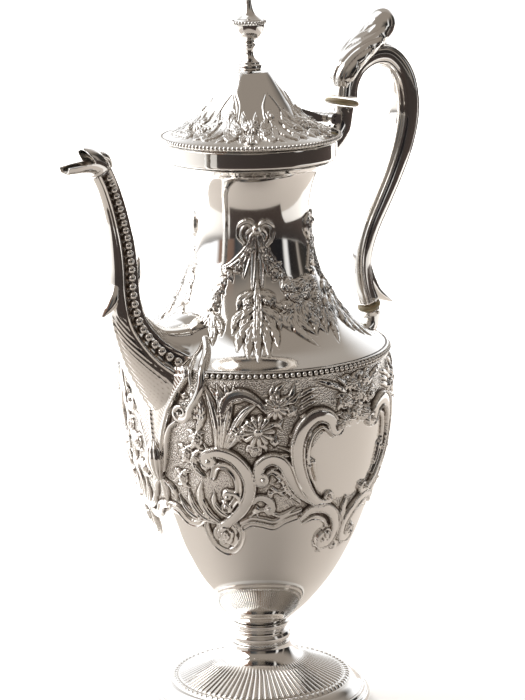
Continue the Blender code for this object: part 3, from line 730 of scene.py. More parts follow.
def bead_ring(name, radius, height, bead, count, body, gap=None, lift=0.3):
    """A ring of beads round the pot; gap is a range of degrees from the spout that stays free."""
    angles = np.arange(count) / count * math.tau
    if gap:
        off = np.abs(np.degrees(angles) - 180)
        angles = angles[off > gap]
    centers = np.stack([radius * np.cos(angles), radius * np.sin(angles), np.full(len(angles), height)], 1)
    # lift tips out upwards, so the painted shade lies on each ball's lower and inner side
    out = np.stack([np.cos(angles), np.sin(angles), np.full(len(angles), lift)], 1)
    return bead_row(name, centers, bead, body, out)


# %% [markdown]
# ## The cup
# The lower body is raised from sheet. Its lower third is a plain mirror. Above it a matted ground carries a wide
# reserve, framed by scrolls, on each side, and flowers, plumes and smaller scrolls between it and the spout.

# %% Cup: the sheet
cup_line = evenly(smooth_line([(52.8, 155.4), (53.4, 154.4), (53.7, 152.6), (54.1, 151.0), (54.75, 138.0),
                               (52.4, 115.0), (48.3, 98.0), (43.6, 84.5), (38.3, 72.0), (31.0, 59.0), (21.5, 47.0),
                               (12.2, 38.3)], 24), 0.26)
cup = Sheet(cup_line, cup_line[:, 1], 1320)
SIDE_MIDDLE = 86.5  # mm round from the spout to the middle of the reserve


def paint_medallion(sheet):
    """The scroll medallion, the arch beside it, and what grows round them."""
    scroll(sheet, [(24, 121.5), (29, 122.5), (35, 120), (39.6, 113.5), (40.4, 106), (37, 98.5), (31, 93.0), (27, 90)],
           [1.0, 2.2, 2.6, 2.4, 1.6], 1.5, first=(2.4, 1), section="band")
    scroll(sheet, [(25.5, 112), (27.5, 116.5), (32, 116.5), (35.4, 112), (35.6, 105), (31.5, 98.5)],
           [1.2, 1.6, 1.4, 0.8], 1.2, last=(1.6, -1), section="hollow")
    scroll(sheet, [(43.6, 112), (45.0, 117.5), (49.5, 120), (54, 117.5), (57.2, 111), (61.5, 104.5), (68, 99.6)],
           [1.2, 2.2, 2.6, 2.0, 1.2], 1.5, first=(1.8, 1), section="band")
    scroll(sheet, [(46, 111.5), (49.5, 114.5), (53.5, 111.0), (57, 105), (62, 100.6)], [0.7, 1.2, 1.0, 0.6], 0.9,
           section="hollow")
    scroll(sheet, [(41.2, 101.4), (44.6, 103.6), (48.4, 102), (49.8, 98.6)], [1.0, 1.6, 1.2], 1.1, last=(1.2, -1))
    for start, end in (((50.5, 105.6), (56, 106.2)), ((49.5, 107.4), (54.0, 104.4))):
        sheet.stroke([start, end], 0.7, 0.6)
    scroll(sheet, [(34.6, 95.8), (36.4, 100.0), (35.2, 104.6), (31.4, 105.8)], [0.5, 1.3, 1.3, 0.8], 1.2, last=(1.5, 1),
           section="round")
    for points, wide in (([(32.6, 96.4), (30.8, 100.2), (28.0, 101.8)], 1.3),
                         ([(31.6, 94.6), (27.6, 97.0), (24.8, 101.0), (25.4, 105.6)], 1.4),
                         ([(27.4, 91.0), (21.6, 95.6), (18.6, 102.6), (20.2, 109.6)], 1.9),
                         ([(25.6, 91.6), (18.2, 94.4), (14.2, 99.6), (13.4, 106.0)], 1.7),
                         ([(22.4, 92.6), (15.4, 93.6), (10.4, 97.0), (7.6, 102.4)], 1.5),
                         ([(21.6, 112.0), (18.4, 115.6), (18.2, 120.4), (21.2, 123.4)], 1.5)):
        sheet.stroke(smooth_line(points, 8), [0.5 * wide, wide, 1.1 * wide, 0.9 * wide, 0.15 * wide],
                     [0.9, 1.3, 1.2, 0.5], "plume", add=0.25)
    rose(sheet, 28.2, 86.6, 6.2, 1.7)
    scroll(sheet, [(20.8, 95), (19.4, 88.5), (22.6, 81.6), (28.5, 78.8), (34.0, 81.6), (36.2, 87.4), (33.6, 91.8)],
           [0.8, 1.5, 1.8, 1.6, 1.0], 1.2, section="hollow")


def paint_plumes(sheet):
    """Acanthus that rises from the medallion to the bead wire and bows over the daisies."""
    for k, (a, b, c, d) in enumerate((((28, 122), (28.2, 134), (26, 144), (23, 150)), ((29.2, 122), (30.5, 134),
                                      (30, 144), (28.5, 150)), ((30, 123), (32, 134), (33.5, 142), (35, 149)),
                                      ((31, 124), (34.2, 131), (39, 139), (45, 143.5)),
                                      ((32, 124), (36.2, 129), (41, 134.5), (47.5, 137.0)))):
        sheet.stroke(smooth_line([a, b, c, d], 8), [0.7, 1.5, 2.0, 1.6, 0.2], [0.9, 1.3, 1.2, 0.5], "plume", add=0.25)
    scroll(sheet, [(30.5, 138), (33, 144.2), (38.5, 146.4), (44, 143.6), (47, 139.6)], [0.8, 1.9, 2.3, 1.5, 0.5], 1.6)
    for k in range(6):
        tip = (25 + k * 3.4, 150.3 - 0.25 * (k - 2) ** 2)
        leaf(sheet, [(31 + k * 0.9, 140 + k * 0.6), (28.5 + k * 2.2, 145.6), tip], 1.25, 1.0)
    plume(sheet, (52, 143.5), [(58.5, 150), (55, 150.5), (61, 146.5), (50.5, 150)], 1.1)
    daisy(sheet, 44.2, 131.6, 6.8, 2.1, 13)
    daisy(sheet, 51.2, 141.0, 5.2, 1.8, 12, 0.9)
    daisy(sheet, 36.4, 130.6, 3.9, 1.5, 10, 0.2)
    rose(sheet, 43.0, 123.8, 2.9, 1.3)
    rose(sheet, 57.2, 139.0, 2.4, 1.1, 0.8)
    plume(sheet, (44, 126), [(39.5, 122.0), (47.5, 122.5), (40.5, 128.0)], 1.0)
    plume(sheet, (49, 134), [(54, 137.0), (53.5, 131.6), (49.5, 128.5)], 1.1)
    for k in range(9):
        a = math.radians(158 + k * 9)
        center = np.array([70.0, 117.5])
        out = np.array([math.cos(a), math.sin(a)])
        sheet.stroke([center + out * 14.6, center + out * (19.6 + 1.2 * (k % 2))], [0.75, 0.25], 0.75, "round")
    for y in (147.5, 144.8, 142.4):
        leaf(sheet, [(60, y - 3.5), (63.5, y - 1.2), (68.5, y)], 1.0, 0.8)
    for k in range(12):
        a = math.radians(40 + 10 * k)
        center = np.array([33.0, 108.0])
        out = np.array([math.cos(a), math.sin(a)])
        if k > 7:
            leaf(sheet, [center + out * 14.5, center + out * 17.5, center + out * 21.0], 0.9, 0.8)


def paint_frame(sheet):
    """One half of the big reserve's frame: its broad C-scroll and the smaller scrolls at its foot."""
    scroll(sheet, [(75.0, 129.6), (73.0, 134.4), (67.6, 136.4), (62.2, 132.6), (59.6, 125.6), (59.9, 117.2),
                   (62.6, 109.0), (66.8, 102.4), (71.6, 98.9), (75.8, 99.6)],
           [0.9, 2.2, 3.0, 3.1, 3.0, 2.8, 2.6, 2.2, 1.6, 1.0], [1.3, 2.0, 2.0, 1.7, 1.2], first=(1.7, 1),
           last=(1.5, 1))
    scroll(sheet, [(74.6, 127.0), (70.0, 131.2), (65.6, 128.2), (64.0, 121.0), (65.2, 112.6), (69.0, 105.0)],
           [0.5, 0.9, 1.0, 0.8, 0.4], 1.0, section="round")
    scroll(sheet, [(64.0, 116.6), (66.4, 117.4), (67.2, 114.2), (68.6, 109.0)], [0.5, 1.0, 0.8, 0.3], 0.9,
           first=(1.0, 1), section="round")
    scroll(sheet, [(63.0, 93.4), (67.6, 96.6), (74.2, 96.4), (80.2, 92.6), (83.6, 86.4), (82.4, 80.8), (77.8, 79.4)],
           [1.0, 2.0, 2.5, 2.4, 2.0, 1.4], 1.6, last=(2.6, -1))
    scroll(sheet, [(64.5, 90.6), (69.5, 92.4), (75.0, 90.8), (78.4, 87.4)], [0.6, 1.2, 1.0, 0.5], 0.9,
           section="hollow")
    rose(sheet, 78.8, 84.2, 4.0, 1.6)
    plume(sheet, (78, 80.5), [(73.0, 78.0), (75.5, 75.6), (80.0, 75.0), (72.0, 81.0)], 1.2)


def paint_ribbon(sheet):
    """The smooth wavy border under the band."""
    waves = smooth_line([(36.0, 89.6), (40.5, 91.8), (45.5, 91.2), (51.0, 90.0), (56.0, 92.4), (62.6, 94.2)], 8)
    sheet.stroke(waves, 1.5, 0.9, "hollow")
    sheet.stroke(waves + [0, 2.6], 1.0, 0.7, "round")
    sheet.stroke(smooth_line([(40, 95.4), (46, 98.0), (53, 95.2), (60, 98.2)], 8), [0.4, 1.0, 0.9, 0.4], 0.7, "round")


def paint_crown(sheet):
    """Flowers over the reserve, and the drop below it, on the middle line of the side."""
    for x, y, size, kind in ((80.4, 132.8, 3.3, 0), (85.8, 135.6, 4.2, 1), (91.6, 133.6, 3.4, 0), (80.6, 140.2, 3.4, 1),
                             (87.6, 142.6, 3.8, 0), (94.2, 140.6, 3.4, 1), (84.0, 147.0, 2.8, 0),
                             (91.4, 147.6, 2.8, 1)):
        plume(sheet, (x, y), [(x - 5.0, y + 2.4), (x + 5.0, y + 2.2), (x - 3.4, y - 3.6), (x + 3.4, y - 3.2)], 1.2, 1.1)
        (rose if kind else daisy)(sheet, x, y, size, 1.9)
    for k in range(5):
        lean = (k - 2) * 5.2
        leaf(sheet, [(86.5 + lean * 0.5, 143), (86.5 + lean * 1.0, 147), (86.5 + lean * 1.9, 150.4)], 1.3, 1.1)
    leaf(sheet, [(86.5, 99.0), (86.2, 92.0), (86.5, 78.6)], 2.0, 1.5)
    button(sheet, 86.5, 77.2, 1.5, 1.5, 1.2)


def paint_tongue(sheet):
    """The end of the spout's feathered leaf, which lies on the cup under the spout and runs out in the drop."""
    half = np.interp(sheet.y, [108.9, 109, 112, 118, 124, 130, 138, 146, 152, 156],
                     [-1, 0.1, 1.8, 3.6, 4.8, 6.4, 9.4, 13.8, 17.5, 17.5])
    across = np.abs(sheet.x)
    inside = across < half[:, None]
    edge = np.clip((half[:, None] - across) / 1.6, 0, 1)
    veins = np.abs(np.sin((sheet.y[:, None] + 1.2 * across) * math.pi / 1.9)) ** 0.7
    form = 1.7 * np.sqrt(edge) + 0.11 * veins * edge + 0.5 * ridge(across, 0.7)
    border = 0.55 * ridge(half[:, None] - across - 1.0, 0.45)
    sheet.lift = np.where(inside, np.maximum(0, form + border), sheet.lift)
    sheet.cover = np.where(inside, 1.0, sheet.cover)


def paint_fillers(sheet, count, low, high, heart):
    """Small sprigs wherever the ground is still bare, turned round a motif's heart."""
    random = np.random.default_rng(11)
    for _ in range(count):
        x, y = random.uniform(low[0], high[0]), random.uniform(low[1], high[1])
        way = math.atan2(y - heart[1], x - heart[0]) + random.choice([0.9, -0.9]) + random.uniform(-0.3, 0.3)
        long = random.uniform(3.4, 5.8)
        found = sheet.window((x - 1.5, y - 1.5), (x + 1.5, y + 1.5))
        if found is None or sheet.cover[found[0]].mean() > 0.12:
            continue
        for lean, share in ((0.0, 1.0), (0.7, 0.72), (-0.7, 0.72)):
            tip = (x + long * share * math.cos(way + lean), y + long * share * math.sin(way + lean))
            half_way = 0.5 * long * share
            mid = (x + half_way * math.cos(way + 0.5 * lean), y + half_way * math.sin(way + 0.5 * lean))
            leaf(sheet, [(x, y), mid, tip], 0.95, 0.85)


def paint_spout_side(sheet):
    """Sprays on the matted ground beside the spout's foot."""
    for x, y, size in ((14.5, 121.0, 3.4), (19.4, 127.6, 3.2), (11.4, 110.4, 2.8)):
        plume(sheet, (x, y), [(x - 4.2, y + 3.2), (x + 4.4, y + 2.8), (x + 3.6, y - 4.2), (x - 3.6, y - 3.6)], 1.1)
        rose(sheet, x, y, size, 1.5)
    leaf(sheet, [(20, 130), (22.5, 138), (21.0, 147.5)], 1.8, 1.2)
    scroll(sheet, [(0, 97.0), (5.6, 95.6), (10.2, 91.0), (15.8, 90.8), (20.4, 95.6)], [1.6, 1.9, 1.8, 1.5, 1.0], 1.1,
           section="hollow")
    sheet.stroke([(0, 109), (0, 103), (0, 97.5)], [1.2, 2.4, 0.5], 1.2, "plume")
    sheet.stroke(smooth_line([(1.5, 108), (5.0, 105), (6.6, 99.5)], 8), [0.6, 1.5, 0.3], 1.1, "plume")


# %% Cup: chasing both sides
for flip in (1, -1):
    for turn_over in (False, True):
        shift, way = (2 * SIDE_MIDDLE, -flip) if turn_over else (0.0, flip)
        cup.place(math.pi, way, shift)
        paint_ribbon(cup)
        paint_plumes(cup)
        paint_medallion(cup)
        if not turn_over:
            paint_spout_side(cup)
        paint_fillers(cup, 60, (12, 95), (66, 150), (33, 108))
        paint_frame(cup)
    cup.place(math.pi, flip)
    paint_crown(cup)
cup.place(math.pi)
paint_tongue(cup)
print("chased cells:", int(cup.cover.sum()))


def hollow_of(sheet, small=2.2, scale=0.30):
    """How far each point lies below its surroundings, from 0 to 1."""
    return np.clip((blurred(sheet.lift, small, small) - sheet.lift) / scale
                   + 0.55 * (blurred(sheet.lift, 3 * small, 3 * small) - sheet.lift) / (2.2 * scale), 0, 1)


# %% Cup: the matted ground and the mesh
cup.place(math.pi)
u = np.abs(cup.x)
fold = np.where(u > SIDE_MIDDLE, 2 * SIDE_MIDDLE - u, u)
lower_edge = np.interp(fold, [0, 8, 16, 20, 28, 36, 45, 51, 57, 63, 70, 78, 84, 90],
                       [94, 91, 90, 84, 80, 89, 92, 90, 93, 94, 93, 88, 84, 84])
ground = (cup.y[:, None] > lower_edge).astype(float)
RESERVE_WIDE, RESERVE_TALL, RESERVE_HEIGHT = 22.5, 17.5, 116.5
reserve = (((fold - SIDE_MIDDLE) / RESERVE_WIDE) ** 2 + ((cup.y[:, None] - RESERVE_HEIGHT) / RESERVE_TALL) ** 2) < 1.0
ground = np.where(reserve, 0, ground)
ground = blurred(ground, 1.5, 1.5) * (1 - blurred(np.clip(cup.cover, 0, 1), 0.8, 0.8))
DEPTH_OF_CHASING = 1.35
cup_lift = DEPTH_OF_CHASING * blurred(cup.lift, 0.5, 0.5)
cup_hollow = hollow_of(cup) * np.clip(ground + cup.cover + blurred(cup.cover, 4, 4), 0, 1)
cup_hollow = np.clip(cup_hollow + 0.16 * ground, 0, 1)
outer = turn_profile(cup_line, cup_lift, cup.columns)
inner_line = evenly(np.array([(11.0, 39.5), (20.5, 48.2), (30.0, 60.0), (37.1, 72.6), (42.4, 85.0), (47.1, 98.4),
                              (51.2, 115.4), (53.5, 138.0), (53.3, 149.0), (52.6, 151.6)]), 4.0)
inner = turn_profile(inner_line, 0.0, cup.columns)
wall = np.vstack([outer, inner])
pad = np.zeros(inner.shape[:2])
lower_body = make_net("cup_chased", wall, "pot", CHASED, loop=True,
                      hollow=np.vstack([cup_hollow, pad + 0.25]), matting=np.vstack([ground, pad]))
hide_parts("lower_body")

# %% [markdown]
# ## Shoulder wire
# A beaded wire hides the seam between the cup and the shoulder. It stops where the spout's base crosses it.

# %% Shoulder wire
SHOULDER_BEADS = 141
SPOUT_GAP = 25.5  # degrees to each side of the spout
shoulder_beads = bead_ring("shoulder_beads", 54.7, 153.4, 1.02, SHOULDER_BEADS, "pot", gap=SPOUT_GAP)
fillet = [(53.2, 155.0), (54.3, 155.1), (54.75, 154.75), (54.4, 154.4), (53.8, 154.0), (53.8, 152.8), (54.6, 152.4),
          (55.0, 152.05), (54.7, 151.75), (53.2, 151.7), (53.2, 155.0)]
span = evenly(np.array(fillet), 0.25)[:-1]
angles = np.radians(np.linspace(-180 + SPOUT_GAP, 180 - SPOUT_GAP, 720))
grid = np.stack([span[:, :1] * np.cos(angles), span[:, :1] * np.sin(angles), np.repeat(span[:, 1:2], 720, 1)], -1)
make_net("shoulder_fillets", grid, "pot", POLISHED, around=False, loop=True,
         hollow=np.repeat((span[:, :1] < 54.0) * 0.9, 720, 1))
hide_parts("shoulder_bead_wire")

# %% [markdown]
# ## Shoulder and neck
# The upper body is one concave sweep, polished, with four bows. From each bow two ribbons fall to a spray, and
# garlands of flowers swing to its neighbours.

# %% Shoulder and neck: the sheet
neck_line = evenly(smooth_line([(33.6, 230.4), (31.0, 228.9), (28.0, 226.6), (24.9, 219.4), (23.0, 207.0),
                                (24.4, 193.0), (28.6, 181.0), (35.6, 168.8), (44.6, 160.2), (53.4, 155.2)], 20), 0.3)
neck = Sheet(neck_line, -(lengths(neck_line) - 3.0), 960)
rng = np.random.default_rng(7)


def garland(sheet, points, size, count, flowers=0.45):
    """A rope of leaves that lie back along a line, with flowers among them."""
    line = evenly(smooth_line(points, 10), lengths(smooth_line(points, 10))[-1] / count)
    slope = np.gradient(line, axis=0)
    for k, (x, y) in enumerate(line):
        along = math.atan2(slope[k, 1], slope[k, 0])
        for side in (-1, 1):
            way = along + side * rng.uniform(0.5, 1.1)
            far = size * rng.uniform(1.3, 1.9)
            tip = (x + far * math.cos(way), y + far * math.sin(way))
            mid = (x + 0.5 * far * math.cos(way - 0.3 * side), y + 0.5 * far * math.sin(way - 0.3 * side))
            leaf(sheet, [(x, y), mid, tip], 0.52 * size, 1.0)
        if rng.uniform() < flowers:
            flower = rose if k % 2 else daisy
            flower(sheet, x + rng.uniform(-1, 1) * 0.3 * size, y, size * rng.uniform(0.7, 0.95), 1.3)


def fan(sheet, root, tips, width, height=1.2):
    """Acanthus leaves from one root, each bowed outwards."""
    for x, y in tips:
        side = (x - root[0]) * 0.28
        leaf(sheet, [root, (0.5 * (root[0] + x) + side, 0.5 * (root[1] + y) + 0.8), (x, y)], width, height)


def paint_bow(sheet):
    """The bow, its ribbons and the spray of acanthus that hangs from them."""
    for points in ([(1.6, -25.6), (-1.4, -22.6), (-4.6, -23.8), (-5.2, -28.0), (-3.6, -30.6)],
                   [(1.6, -25.6), (4.6, -22.8), (7.6, -24.6), (7.4, -29.0), (5.6, -31.6)],
                   [(0.8, -24.6), (-1.6, -27.0), (-1.8, -29.6)], [(2.4, -24.6), (4.6, -27.0), (4.8, -29.4)]):
        sheet.stroke(smooth_line(points, 8), [0.7, 1.3, 1.4, 1.2, 0.7], 1.2, "hollow")
    for tips in ([(0.8, -27), (-2.5, -33), (-8.0, -38.5), (-12.5, -41)], [(0.8, -27), (-2.0, -34), (-6.8, -42)],
                 [(2.4, -27), (4.8, -33), (8.8, -39), (12.4, -43)], [(2.4, -27), (4.0, -34), (7.2, -41)],
                 [(1.0, -27), (0.2, -36), (-0.4, -49)], [(2.2, -27), (3.2, -36), (3.4, -48)],
                 [(1.0, -28), (-1.8, -36), (-3.8, -44)], [(2.2, -28), (4.2, -36), (5.6, -43)]):
        sheet.stroke(smooth_line(tips, 8), [0.6, 1.1, 1.0, 0.5], 0.9, "hollow")
    button(sheet, 1.6, -25.4, 2.0, 1.7, 1.1)
    fan(sheet, (1.4, -50), [(-6.6, -58), (8.6, -57.0), (-3.8, -60), (6.0, -60)], 1.7)
    fan(sheet, (1.4, -56), [(-8.8, -68), (10.8, -67), (-5.2, -70), (8.0, -70)], 2.0, 1.3)
    fan(sheet, (1.4, -61), [(-6.8, -76), (9.6, -75), (-2.6, -79.5), (5.6, -79)], 2.1, 1.3)
    leaf(sheet, [(1.4, -46), (1.6, -60), (1.2, -71), (1.4, -82)], 2.4, 1.7)
    daisy(sheet, -2.2, -55.4, 2.3, 1.4, 9)
    rose(sheet, 5.2, -54.4, 2.4, 1.5)


def paint_swags(sheet):
    """Garlands to both sides of the bow: a rich one to one side, a longer leafy one to the other."""
    garland(sheet, [(3, -33), (7, -39), (11, -45), (16, -49.5), (22, -51)], 2.5, 7)
    garland(sheet, [(14, -48), (20, -51), (27, -54), (34, -57.5)], 3.0, 5, 0.8)
    fan(sheet, (26, -55), [(22.0, -66), (27.0, -71), (31.6, -67)], 2.7, 1.3)
    fan(sheet, (33, -59), [(33.0, -71), (38.6, -76.5), (41.0, -68)], 2.4, 1.3)
    for x, y, size in ((14.4, -49.0, 3.2), (21.0, -50.4, 4.0), (28.0, -54.2, 3.4), (18.6, -56.0, 3.0),
                       (34.0, -58.6, 2.6)):
        rose(sheet, x, y, size, 1.8)
    garland(sheet, [(-1, -33), (-5, -38), (-10, -43), (-14, -49), (-17, -56), (-18, -63)], 2.6, 9, 0.45)
    fan(sheet, (-17.5, -60), [(-22.0, -69), (-17.0, -74), (-13.4, -69)], 2.2, 1.2)


# %% Shoulder and neck: chasing and the mesh
BOWS = ((227, 1), (133, -1), (313, -1), (47, 1))  # where each bow hangs, in degrees, and which way it is turned
for middle_degrees, flip in BOWS:
    neck.place(math.radians(middle_degrees), flip, radius=None)
    paint_swags(neck)
    paint_bow(neck)
neck_lift = 1.15 * blurred(neck.lift, 0.5, 0.5)
neck_hollow = np.clip(hollow_of(neck), 0, 1) * np.clip(neck.cover + 1.4 * blurred(neck.cover, 2.5, 2.5), 0, 1)
outer = turn_profile(neck_line, neck_lift, neck.columns)
inner_line = evenly(np.array([(52.0, 154.6), (43.8, 159.2), (34.7, 167.8), (27.5, 180.4), (23.3, 192.8), (21.9, 207.0),
                              (23.8, 219.9), (27.2, 227.4), (32.4, 231.0)]), 3.0)
inner = turn_profile(inner_line, 0.0, neck.columns)
pad = np.zeros(inner.shape[:2])
upper_body = make_net("shoulder_and_neck_chased", np.vstack([outer, inner]), "pot", CHASED, loop=True,
                      hollow=np.vstack([neck_hollow, pad + 0.25]), matting=np.vstack([0 * neck_lift, pad]))
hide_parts("upper_body")
band_points = [(34.2, 238.2), (34.6, 237.9), (34.6, 232.2), (34.4, 231.5), (33.9, 231.2), (33.3, 231.3), (33.3, 238.2),
               (34.2, 238.2)]
band = make_net("neck_band_turned", turn_profile(evenly(np.array(band_points), 0.3)[:-1], 0.0, 256), "pot", POLISHED,
                loop=True)
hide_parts("neck_band")

# %% [markdown]
# ## Lid
# The lid is a spun cone with a flat top for the finial. Six clusters of flowers lie round its lower slope, with curled
# leaves between them. A beaded wire edges it, and a flange under it steadies it in the mouth.

# %% Lid
lid_line = evenly(smooth_line([(1.8, 266.1), (7.4, 266.1), (8.5, 265.6), (12.2, 260.2), (15.8, 254.8), (19.2, 250.2),
                               (23.2, 246.2), (28.4, 243.2), (35.0, 241.0), (35.9, 240.6)], 16), 0.3)
lid = Sheet(lid_line, lid_line[:, 0], 900)


def paint_lid_cluster(sheet):
    """Flowers and leaves low on the lid; x is mm round at this radius and y is the radius."""
    for lean in (-12.5, -8.5, -3.6, 2.4, 7.6, 12.0):
        leaf(sheet, [(lean * 0.4, 25), (lean * 0.75, 21.5), (lean * 0.9, 17.4 + 0.16 * abs(lean))], 1.5, 0.9)
        leaf(sheet, [(lean * 0.6, 26.5), (lean * 0.95, 29.5), (lean * 1.15, 32.4)], 1.6, 0.9)
    for x, y, size, kind in ((-5.4, 25.4, 2.9, 1), (0.4, 23.2, 3.2, 0), (5.6, 26.2, 3.0, 1), (0.0, 28.8, 2.4, 0)):
        (rose if kind else daisy)(sheet, x, y, size, 1.5)


def paint_lid_scroll(sheet):
    """The curled leaf between two clusters."""
    for lean in (-1, 1):
        sheet.stroke(smooth_line([(lean * 7.6, 31.6), (lean * 4.6, 27.4), (lean * 2.6, 22.6), (lean * 3.6, 18.4)], 8),
                     [0.4, 1.5, 1.3, 0.3], 0.8, "leaf", add=0.3)
    scroll(sheet, [(-2.6, 31.4), (0.4, 27.6), (1.4, 23.4), (0.2, 19.8)], [0.6, 1.1, 0.9, 0.5], 0.8, last=(1.3, 1))
    for lean in (-3.6, 3.8):
        sheet.stroke(smooth_line([(lean * 1.3, 20.0), (lean * 0.9, 16.4), (lean * 0.2, 13.6)], 8),
                     [0.15, 0.4, 0.1], 0.3)


LID_CLUSTERS = 6
for k in range(LID_CLUSTERS):
    lid.place(math.radians(227 + 60 * k), radius=None)
    paint_lid_cluster(lid)
    lid.place(math.radians(257 + 60 * k), 1 if k % 2 else -1, radius=None)
    paint_lid_scroll(lid)
lid_lift = 1.15 * blurred(lid.lift, 0.5, 0.5)
lid_hollow = hollow_of(lid) * np.clip(lid.cover + 1.4 * blurred(lid.cover, 2.5, 2.5), 0, 1)
outer = turn_profile(lid_line, lid_lift, lid.columns)
inner_line = evenly(np.array([(34.7, 239.8), (28.0, 241.4), (22.8, 244.9), (18.7, 249.0), (15.2, 253.7), (11.6, 259.1),
                              (7.8, 264.9), (1.8, 264.9)]), 3.0)
inner = turn_profile(inner_line, 0.0, lid.columns)
pad = np.zeros(inner.shape[:2])
lid_dome = make_net("lid_dome_chased", np.vstack([outer, inner]), "lid", CHASED, loop=True,
                    hollow=np.vstack([lid_hollow, pad + 0.25]), matting=np.vstack([0 * lid_lift, pad]))
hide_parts("lid_dome")
LID_BEADS = 130
lid_beads = bead_ring("lid_beads", 35.95, 240.1, 0.92, LID_BEADS, "lid", lift=0.4)
wire_points = [(34.8, 239.0), (35.6, 239.0), (36.1, 239.4), (35.7, 239.8), (35.2, 240.2), (34.8, 240.4), (34.8, 239.0)]
make_net("lid_edge_wire", turn_profile(evenly(np.array(wire_points), 0.2)[:-1], 0.0, 256), "lid", POLISHED,
         loop=True)
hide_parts("lid_bead_wire")

# %% [markdown]
# ## Lofts
# The spout, the handle and the leaves on them are not turned. Each is a loft: an oval that travels along a bent line
# and changes its size on the way. The line lies in the pot's middle plane, so one angle tells where a point lies
# round it: 0 on the side that the line's left hand points to, a quarter turn on the flanks.

# %% Loft helpers
# the outside of the pot, a little inside its skin, to cut the ends of spout and handle by
POT_FORM = [(0.0, 231.0), *[(r - 0.7, z - 0.5) for r, z in neck_line[6:]],
            *[(r - 0.8, z) for r, z in cup_line if z < 151], (0.0, 38.3)]


def loft(route, columns=64, step=0.7, power=2.3, lift=None, grow=0.0):
    """Rings along a route of (x, z, half depth, half width), as a grid of points."""
    line = evenly(smooth_line(route, 12), step)
    slope = np.gradient(line[:, :2], axis=0)
    slope /= np.linalg.norm(slope, axis=1, keepdims=True)
    side = np.stack([-slope[:, 1], slope[:, 0]], 1)
    turn = np.linspace(0, math.tau, columns, endpoint=False)[None, :]
    c = np.sign(np.cos(turn)) * np.abs(np.cos(turn)) ** (2 / power)
    s = np.sign(np.sin(turn)) * np.abs(np.sin(turn)) ** (2 / power)
    run = lengths(line)[:, None]
    extra = grow + (lift(turn, run, line) if lift else 0.0)
    deep = line[:, 2:3] * c + extra * np.cos(turn)
    wide = line[:, 3:4] * s + extra * np.sin(turn)
    points = np.stack([line[:, :1] + side[:, :1] * deep, wide + 0 * deep, line[:, 1:2] + side[:, 1:2] * deep], -1)
    return points


def cut(piece, cutter_points):
    """Cuts a piece by a closed grid of points and keeps the result."""
    shape = make_net("cutter", cutter_points, "pot", POLISHED, caps=(True, True))
    modifier = piece.modifiers.new("cut", "BOOLEAN")
    modifier.object, modifier.solver, modifier.operation = shape, "EXACT", "DIFFERENCE"
    bpy.context.view_layer.update()
    solid = bpy.data.meshes.new_from_object(piece.evaluated_get(bpy.context.evaluated_depsgraph_get()))
    piece.modifiers.clear()
    piece.data = solid
    bpy.data.objects.remove(shape)
    return piece


def turned_solid(points, columns=128):
    return turn_profile(np.array(points, float), 0.0, columns)


def relief_shade(points, amount):
    """How far each point of a loft lies below its smoothed surface, for the tarnish."""
    center = points.mean(axis=1, keepdims=True)
    radius = np.linalg.norm(points - center, axis=-1)
    return np.clip((blurred(radius, 2.0, 2.0) - radius) / amount, 0, 1)


# %% [markdown]
# ## Spout
# The spout is a swan's neck, seamed from two halves. Each flank has a groove between two rails, and a row of beads
# lies in it. A feathered leaf covers the underside from the little spur down to the drop.

# %% Spout
SPOUT = [(-40.0, 150.4, 25.5, 16.0), (-50.0, 155.6, 17.6, 13.4), (-59.2, 162.8, 11.4, 9.6), (-65.6, 172.0, 8.0, 6.4),
         (-68.3, 179.6, 7.0, 5.5), (-69.2, 187.6, 6.5, 4.9), (-69.2, 196.0, 6.2, 4.5), (-69.9, 204.6, 5.8, 4.2),
         (-71.3, 213.0, 5.1, 3.7), (-73.4, 221.3, 4.8, 3.4), (-76.2, 229.0, 4.6, 3.3), (-79.4, 235.2, 4.6, 3.5)]


def spout_relief(turn, run, line):
    flank = np.minimum(np.abs(turn - math.pi / 2), np.abs(turn - 1.5 * math.pi)) * line[:, 2:3] * 0.8
    bead = np.interp(line[:, 1], [150, 166, 232], [2.3, 1.9, 1.35])[:, None]
    rails = 0.75 * ridge(flank - bead - 0.55, 0.42) + 0.25 * ridge(flank - bead - 1.7, 0.3)
    grooved = np.clip((line[:, 1:2] - 152) / 6, 0, 1)
    groove = -0.35 * np.exp(-((flank / (bead + 0.1)) ** 6))
    under = (turn < math.pi / 2) | (turn > 1.5 * math.pi)
    away = np.minimum(turn, math.tau - turn)
    across = away * line[:, 2:3]
    feather = np.abs(np.sin((run + across * 1.3) * math.pi / 2.4)) ** 0.7
    leaf_zone = np.clip((181 - line[:, 1:2]) / 3, 0, 1) * np.clip((flank - bead - 1.8) / 0.8, 0, 1) * under
    return grooved * (rails + groove) + leaf_zone * (0.36 * feather + 0.45 * ridge(across, 0.6))


spout_outer = loft(SPOUT, 144, 0.45, 2.3, spout_relief)
spout_inner = loft([(x, z, a - 1.0, b - 1.0) for x, z, a, b in SPOUT], 144, 3.0)[::-1]
shade = relief_shade(spout_outer, 0.35)
spout = make_net("spout_neck", np.vstack([spout_outer, spout_inner]), "pot", POLISHED, loop=True,
                 hollow=np.vstack([shade, np.full(spout_inner.shape[:2], 0.5)]))
cut(spout, turned_solid(POT_FORM))
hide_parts("spout_shell")

